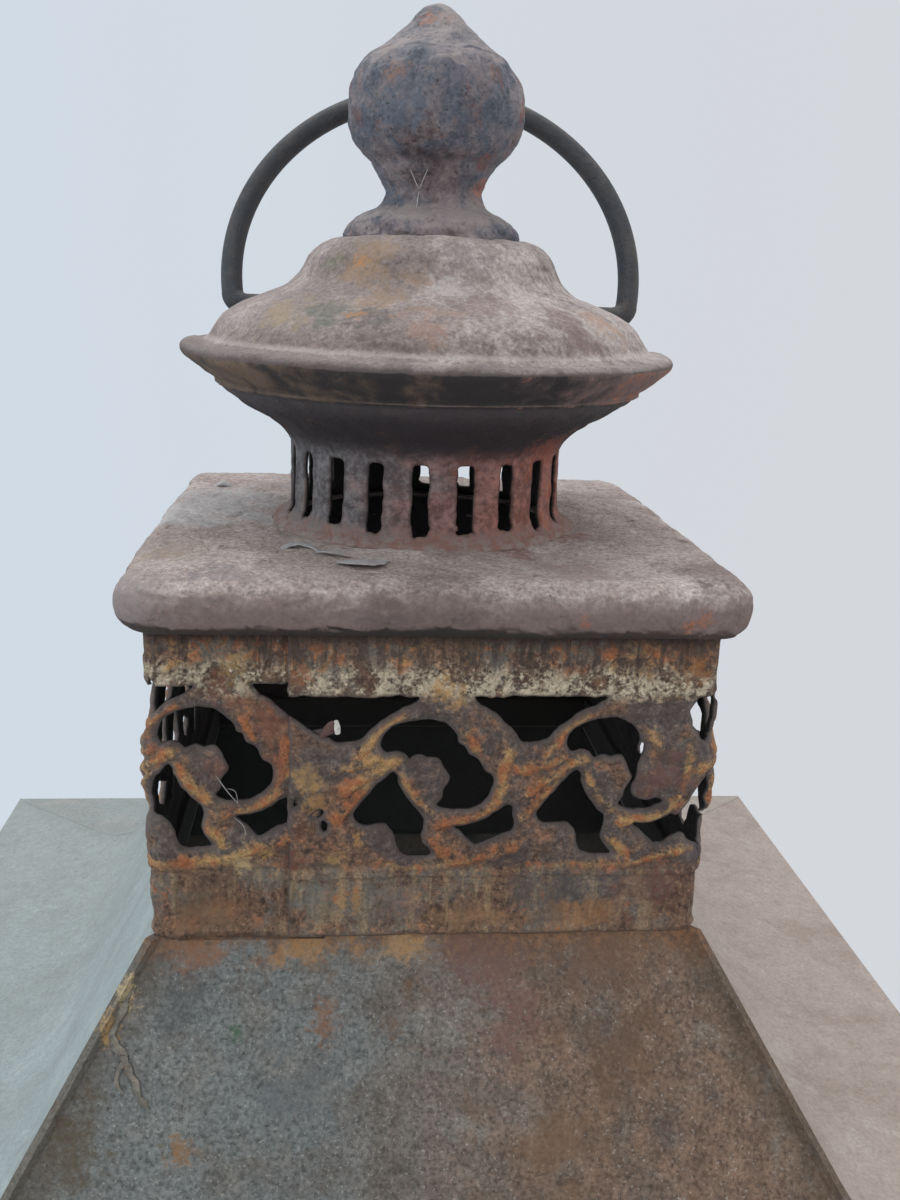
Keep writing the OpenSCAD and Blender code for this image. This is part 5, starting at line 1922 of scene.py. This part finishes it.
@dataclass
class Wear:
    """Flakes, peeled paint, a bent leaf tip and threads of cobweb."""

    pieces: tuple[Loose, ...] = (
        Loose(
            "plate_flakes",
            (
                Ribbon(
                    ((-38, -41, -0.2), (-33.5, -38.6, 0.8), (-28.5, -43, -0.1)),
                    (0.4, 1.8, 1.5, 0.4), 0.2, ragged=1.0,
                ),
                Ribbon(
                    ((-29.5, -44, -0.2), (-25, -47.5, 0.9), (-20.5, -49, -0.1)),
                    (0.4, 1.9, 1.6, 0.4), 0.2, ragged=1.0,
                ),
                Ribbon(
                    ((-24, -53.5, -0.2), (-20, -57, 0.8), (-16, -58.4, 1.1),
                     (-11.4, -54.6, 0.7)),
                    (0.4, 2.2, 3.0, 2.0, 0.5), 0.22, ragged=1.2,
                ),
                Ribbon(
                    ((-63.5, 40, -0.2), (-60.5, 40.6, 1.4), (-57.5, 39.4, -0.2)),
                    (0.4, 1.7, 0.4), 0.3, ragged=0.8,
                ),
            ),
            BareIron(
                "flaked_paint", srgb(176, 178, 182), srgb(146, 142, 144), srgb(112, 82, 70),
                0.4, 0.4, 5.0, 0.3, 0.75, 21.0,
            ),
            "crown_sheet",
        ),
        Loose(
            "peeled_paint",
            (
                Ribbon(
                    ((-71.6, -73.4, -101.7), (-74.7, -77.1, -107.3), (-76.2, -80.0, -112.1),
                     (-72.9, -82.4, -115.8), (-70.3, -85.3, -120.8), (-66.5, -88.4, -125.8)),
                    (0.3, 0.9, 1.3, 0.8, 1.0, 0.3), 0.4, (-0.3, -0.8, 0.5), 0.9,
                ),
                Ribbon(
                    ((-72.9, -82.4, -115.8), (-74.6, -84.6, -119.4), (-72.6, -86.4, -122.4)),
                    (0.3, 0.6, 0.3), 0.35, (-0.3, -0.8, 0.5), 0.6,
                ),
            ),
            BareIron(
                "peeled_cream", srgb(138, 134, 124), srgb(96, 92, 86), srgb(136, 108, 80),
                0.5, 0.1, 3.0, 0.4, 0.8, 23.0,
            ),
            "roof_sheet",
        ),
        Loose(
            "bent_leaf_tip",
            (
                Ribbon(
                    ((-27.6, -67.6, -39.4), (-25.8, -68.4, -37.2), (-24.0, -69.0, -34.8)),
                    (0.9, 1.5, 0.5), 0.45, (0.2, -1.0, 0.1), 0.6,
                ),
            ),
            BareIron(
                "leaf_tip_rust", srgb(104, 78, 74), srgb(84, 62, 60), srgb(128, 82, 66),
                0.5, 0.1, 3.0, 0.3, 0.8, 25.0,
            ),
            "gallery_sheet",
        ),
        Loose(
            "bright_leaf_edge",
            (
                Ribbon(
                    ((-23.9, -68.9, -34.4), (-23.5, -69.1, -36.2), (-23.3, -68.7, -38.2)),
                    (0.5, 0.75, 0.5), 0.3, (0.2, -1.0, 0.0), 0.2,
                ),
            ),
            BareIron(
                "bright_tin", srgb(214, 212, 206), srgb(190, 186, 178), srgb(160, 140, 120),
                0.2, 0.0, 2.0, 0.1, 0.5, 27.0,
            ),
            "gallery_sheet",
        ),
        Loose(
            "cobweb",
            (
                thread((-52.0, -67.6, -49.0), (-49.0, -68.0, -53.4), (-46.4, -68.0, -56.6), 0.1),
                thread((-49.6, -67.8, -52.4), (-47.4, -68.4, -52.8), (-46.8, -68.0, -56.2), 0.08),
                thread((-48.0, -68.0, -59.6), (-45.6, -68.0, -62.0), (-45.0, -68.0, -64.6), 0.08),
                thread((-4.6, -12.9, 87.0), (-5.2, -14.4, 82.6), (-5.8, -16.6, 79.0), 0.14),
                thread((-7.2, -14.8, 92.0), (-5.8, -13.7, 89.4), (-4.6, -12.9, 87.0), 0.12),
                thread((-2.6, -15.4, 92.2), (-3.6, -14.0, 89.6), (-4.6, -12.9, 87.0), 0.12),
            ),
            BareIron(
                "web_dust", srgb(176, 174, 174), srgb(150, 148, 148), srgb(140, 130, 124),
                0.2, 0.3, 2.0, 0.05, 0.8, 29.0,
            ),
            "gallery_sheet",
            rows=14, columns=6,
        ),
    )

    def build(self) -> None:
        """Stores each of them."""
        for piece in self.pieces:
            piece.build()


@dataclass
class BackPanel:
    """Rear roof panel, whose folded hips are hammered flat onto the side panels."""

    top: float = 66.8
    tuck: float = -80.6
    foot: float = -91.0
    slope: float = 1.66
    flare: float = 34.5
    flare_from: float = 99.0
    flat: float = math.radians(8.5)
    eave: Point = (166.0, -167.0)
    drop: float = 12.0
    roll: float = 2.2
    hem: float = 1.65
    sheet: float = 0.88
    rows: int = 100
    columns: int = 260

    def profile(self) -> Array:
        """Section of the face: tuck, slope, arc, eave and rolled edge.

        Returns:
            Half-widths and heights, shape (n, 2).
        """
        steep = math.atan(self.slope)
        a = np.linspace(steep, self.flat, 24)
        middle = np.array([
            self.flare_from + self.flare * math.sin(steep),
            self.foot - self.slope * (self.flare_from - self.top) + self.flare * math.cos(steep),
        ])
        arc = middle - self.flare * np.stack([np.sin(a), np.cos(a)], 1)
        turn = np.linspace(0.0, math.radians(220), 14)
        centre = np.array([self.eave[0] - self.roll, self.eave[1] - self.drop])
        roll = centre + self.roll * np.stack([np.cos(turn), -np.sin(turn)], 1)
        return np.vstack([[self.top, self.tuck], [self.top, self.foot], arc, self.eave, roll])

    def build(self, finish: Finish) -> None:
        """Stores level sections over the face, each a straight run and two hems.

        Args:
            finish: The panel's finish.
        """
        path = resample(self.profile(), self.rows)
        t = np.linspace(-1.0, 1.0, self.columns - 4)[None, :]
        skins = []
        for out in (0.16, -self.sheet):
            edge = path + out * -sides(path)
            w, z = edge[:, :1], edge[:, 1:]
            lap = w + self.hem * np.array([[0.5, 1.0]])
            u = np.hstack([-lap[:, ::-1], t * w, lap])
            x = np.clip(u, -w, w)
            y = w - np.maximum(np.abs(u) - w, 0.0)
            grid = np.stack([x, y, z + 0 * u], -1)
            grid[..., 2] += 0.35 * noise(grid, 26.0, 151) * ease(w - np.abs(u), 2.0, 14.0)
            skins.append(grid.reshape(-1, 3))
        faces = grid_triangles(np.arange(self.rows * self.columns).reshape(self.rows, self.columns))
        points, faces = PiercedSheet.shell(skins[0], skins[1], faces)
        store("roof_back_sheet", points, faces, finish, ("roof_panel_back",))


@dataclass
class Roof:
    """Four painted panels, three of them kept as they are in CAD; side and back panels carry
    painted light.
    """

    front: Finish = RoofPaint(
        "roof_front_paint_and_shade", srgb(112, 116, 115), srgb(120, 99, 84), srgb(92, 86, 80),
        srgb(132, 132, 126), 0.7, 0.9, 0.8, 0, 46.0, 7.0,
        (
            Stain((-30, -70, -95), 11, (168, 126, 80), 0.75, 0.45),
            Stain((-8, -70, -94.5), 9, (174, 136, 92), 0.75, 0.45),
            Stain((-57, -71, -95), 8, (134, 96, 72), 0.8, 0.6),
            Stain((14, -71, -97), 12, (112, 84, 76)),
            Stain((44, -71, -96), 12, (112, 86, 70)),
            Stain((-26, -78, -108), 4, (134, 92, 64), 0.75, 3),
            Stain((-9, -79, -109), 3, (104, 78, 60), 0.7, 2.6),
            Stain((20, -79, -108), 9, (122, 88, 80), 0.7, 2),
            Stain((48, -84, -116), 12, (104, 80, 62), 0.7, 1.8),
            Stain((30, -95, -132), 14, (118, 92, 70), 0.7),
            Stain((-60, -76, -106), 8, (78, 80, 82), 0.7),
            Stain((-32, -86, -122), 12, (96, 102, 106), 0.6),
            Stain((-59, -93, -134), 4, (140, 104, 66), 0.9),
            Stain((-47, -79.4, -112), 2, (62, 92, 70), 0.9, 1.6),
            Stain((-27, -81, -116), 1, (48, 44, 44)),
            Stain((-73, -75, -102), 3, (190, 172, 132), 0.9, 2),
            Stain((-77, -79, -109), 3, (184, 150, 100), 0.8, 2),
            # Painted shade: a dark patch along the lower left hip.
            Stain((-84, -92, -132), 9, (88, 78, 60), 0.8, 2),
        ),
    )
    # Painted light: the left panel's paint is pale and cool, a lit copy of the roof's paint.
    left: Finish = RoofPaint(
        "roof_left_paint_and_light", srgb(146, 157, 158), srgb(142, 150, 149), srgb(128, 137, 136),
        srgb(162, 172, 172), 0.45, 0.25, 0.15, 1, 160.0, 17.0,
    )
    # Painted light: the right panel's paint is pale and warm, a lit copy of the roof's paint.
    right: Finish = RoofPaint(
        "roof_right_paint_and_light", srgb(172, 160, 152), srgb(166, 154, 147), srgb(142, 127, 118),
        srgb(184, 174, 167), 0.5, 0.3, 0.15, 1, 160.0, 27.0,
    )
    # Painted light: the back panel runs from the left panel's cool tone to the right's warm one.
    back: Finish = RoofPaint(
        "roof_back_paint_and_light", srgb(150, 161, 162), srgb(172, 162, 155), srgb(136, 133, 127),
        srgb(168, 168, 164), 0.4, 0.3, 0.3, 0, 60.0, 37.0,
    )

    def build(self) -> None:
        """Puts each panel's finish on it."""
        dress(self.front, "roof_panel_front")
        dress(self.left, "roof_panel_left")
        dress(self.right, "roof_panel_right")
        BackPanel().build(self.back)


@dataclass
class Body:
    """Ring handle and glazed body, kept as they are in CAD, in their finishes."""

    bar: Finish = BareIron(
        "ring_iron", srgb(30, 35, 42), srgb(43, 41, 43), srgb(78, 60, 52), 0.35, 0.1, 12.0,
        0.3, 0.5, 51.0,
    )
    frame_paint: Finish = BareIron(
        "frame_paint", srgb(92, 90, 88), srgb(108, 98, 90), srgb(128, 82, 58), 0.5, 0.45, 18.0,
        0.4, 0.72, 61.0,
    )
    door_paint: Finish = BareIron(
        "door_paint", srgb(98, 97, 96), srgb(112, 100, 90), srgb(132, 84, 58), 0.5, 0.4, 15.0,
        0.4, 0.7, 71.0,
    )
    steel: Finish = BareIron(
        "rusty_steel", srgb(86, 78, 74), srgb(112, 84, 66), srgb(138, 84, 54), 0.6, 0.3, 5.0,
        0.3, 0.62, 81.0,
    )
    cast: Finish = BareIron(
        "cast_feet", srgb(78, 76, 78), srgb(98, 84, 76), srgb(126, 80, 60), 0.6, 0.45, 8.0,
        0.5, 0.66, 91.0,
    )
    glass: Finish = WindowGlass()

    def build(self) -> None:
        """Puts the finishes on the nodes."""
        dress(self.bar, "ring_handle")
        dress(
            self.frame_paint, "head_band", "post_front_left", "post_front_right",
            "post_back_left", "post_back_right", "sill_band", "glass_clips", "floor_pan",
            "base_skirt",
        )
        dress(self.door_paint, "door_frame", "door_clips")
        dress(
            self.steel, "finial_stud", "crown_washer", "crown_nut", "frame_rivets",
            "post_hinge_upper", "post_hinge_lower", "door_hinge_upper", "door_hinge_lower",
            "hinge_pin_upper", "hinge_pin_lower", "latch_tongue", "latch_knob", "latch_rivet",
            "latch_keeper", "candle_cup", "candle_spike", "foot_screws",
        )
        dress(
            self.cast, "foot_front_left", "foot_front_right", "foot_back_left", "foot_back_right"
        )
        dress(self.glass, "pane_left", "pane_right", "pane_back", "door_pane")


@dataclass
class Softbox:
    """Square area lamp that looks at the crown."""

    name: str
    place: Place
    side: float
    watts: float
    colour: Colour = (1.0, 1.0, 1.0)

    def build(self, aim: Vector) -> None:
        """Hangs the lamp and turns it.

        Args:
            aim: Point that it looks at.
        """
        lamp = bpy.data.lights.new(self.name, "AREA")
        lamp.size = self.side
        lamp.energy = self.watts
        lamp.color = self.colour
        hung = bpy.data.objects.new(self.name, lamp)
        hung.location = self.place
        hung.rotation_euler = (aim - Vector(self.place)).to_track_quat("-Z", "Y").to_euler()
        bpy.context.scene.collection.objects.link(hung)


@dataclass
class Studio:
    """Pale floor, pale surroundings, soft lamps and the camera."""

    floor_radius: float = 30.0
    floor_fades: Point = (260.0, 620.0)
    floor_colour: Colour = srgb(214, 216, 219)
    cool: Colour = srgb(208, 219, 230)
    plain: Colour = srgb(212, 215, 220)
    ambient: Colour = (0.93, 0.97, 1.0)
    ambient_level: float = 0.5
    lamps: tuple[Softbox, ...] = (
        Softbox("top_softbox", (-0.1, 0.5, 2.2), 1.6, 21.0),
        Softbox("left_softbox", (-1.9, 0.1, 1.2), 1.2, 13.0, (0.9, 0.96, 1.0)),
        Softbox("right_softbox", (1.9, 0.0, 1.2), 1.2, 10.0, (1.0, 0.96, 0.92)),
        Softbox("front_fill", (-0.5, -1.8, 1.5), 1.0, 15.0),
    )
    focal_pixels: float = 1146.9
    picture: tuple[int, int] = (900, 1200)
    eye: Place = (-22.44, -320.4, 66.53)
    yaw: float = 0.0964
    pitch: float = 0.2756
    roll: float = 0.0385

    def wall(self, bench: Bench, across: Wire) -> Wire:
        """Colour of the surroundings: cool on the left, plain on the right."""
        return bench.mix(self.cool, self.plain, across.ease(-0.5, 0.5))

    @staticmethod
    def seen(bench: Bench) -> Wire:
        """Tells rays that look at a thing, straight, in a reflection or through glass.

        Args:
            bench: Node tree of the material.

        Returns:
            1 for those rays, 0 for light.
        """
        camera, glossy, through = (
            bench.add("ShaderNodeLightPath", {}, f"Is {kind} Ray")
            for kind in ("Camera", "Glossy", "Transmission")
        )
        return camera.most(glossy).most(through)

    def floor(self) -> None:
        """Lays a round floor, its rim (r cos a, r sin a, 0), that runs into the wall's colour."""
        ring = around(self.floor_radius, np.linspace(0.0, 2 * math.pi, 96, endpoint=False), 0.0)
        mesh = bpy.data.meshes.new("studio_floor")
        mesh.from_pydata(ring, [], [list(range(len(ring)))])
        mesh.update()
        floor = bpy.data.objects.new("studio_floor", mesh)
        bpy.context.scene.collection.objects.link(floor)
        made = bpy.data.materials.new("floor_paper")
        made.use_nodes = True
        bench = Bench(made.node_tree)
        x, y = bench.axis(0), bench.axis(1)
        far = (x * x + y * y + 1.0).root()
        paper = bench.shader(self.floor_colour, 0.9)
        glow = bench.add("ShaderNodeEmission", {"Color": self.wall(bench, x / far)})
        share = far.ease(*self.floor_fades) * self.seen(bench)
        both = bench.add("ShaderNodeMixShader", {0: share, 1: paper, 2: glow})
        bench.add("ShaderNodeOutputMaterial", {"Surface": both})
        mesh.materials.append(made)

    def surroundings(self) -> None:
        """Even light on the object, and a pale cool wall for rays that look at it."""
        world = bpy.data.worlds.new("pale_room")
        bpy.context.scene.world = world
        world.use_nodes = True
        bench = Bench(world.node_tree)
        spot = bench.add("ShaderNodeTexCoord", {}, "Generated")
        x, y = (bench.add("ShaderNodeSeparateXYZ", {0: spot}, k) for k in (0, 1))
        wall = self.wall(bench, x / (x * x + y * y + 0.0001).root())
        seen = self.seen(bench)
        level = self.ambient_level + seen * (1.0 - self.ambient_level)
        shown = bench.mix(self.ambient, wall, seen)
        light = bench.add("ShaderNodeBackground", {"Color": shown, "Strength": level})
        bench.add("ShaderNodeOutputWorld", {"Surface": light})

    def camera(self) -> None:
        """Camera at the photograph's place, lens and tilt, from three angles."""
        forward = np.array([
            math.sin(self.yaw) * math.cos(self.pitch),
            math.cos(self.yaw) * math.cos(self.pitch),
            -math.sin(self.pitch),
        ])
        level = np.array([math.cos(self.yaw), -math.sin(self.yaw), 0.0])
        upright = np.cross(level, forward)
        c, s = math.cos(self.roll), math.sin(self.roll)
        right, up = c * level + s * upright, c * upright - s * level
        lens = bpy.data.cameras.new("view_camera")
        lens.sensor_width = 36.0
        lens.sensor_fit = "AUTO"
        lens.lens = self.focal_pixels / max(self.picture) * lens.sensor_width
        lens.clip_start, lens.clip_end = 0.01, 60.0
        camera = bpy.data.objects.new("view_camera", lens)
        place = np.eye(4)
        place[:3, 0], place[:3, 1], place[:3, 2] = right, up, -forward
        place[:3, 3] = np.array(self.eye) * MM + (0.0, 0.0, PLATE_Z * MM)
        camera.matrix_world = Matrix(place.tolist())
        bpy.context.scene.collection.objects.link(camera)
        bpy.context.scene.camera = camera

    def build(self) -> None:
        """Sets the studio up."""
        bpy.context.scene.view_settings.view_transform = "Standard"
        self.camera()
        self.floor()
        self.surroundings()
        for lamp in self.lamps:
            lamp.build(Vector((0.0, 0.0, PLATE_Z * MM)))


def main() -> None:
    """Builds the studio and the lantern."""
    logging.basicConfig(level=logging.INFO, format="%(name)s %(message)s")
    for assembly in (
        Studio(), Finial(), DomeCap(), VentCollar(), TopPlate(), Gallery(), Wear(), Roof(), Body()
    ):
        assembly.build()
        log.info("%s built", type(assembly).__name__)
    bpy.context.view_layer.update()


if __name__ == "__main__":
    main()
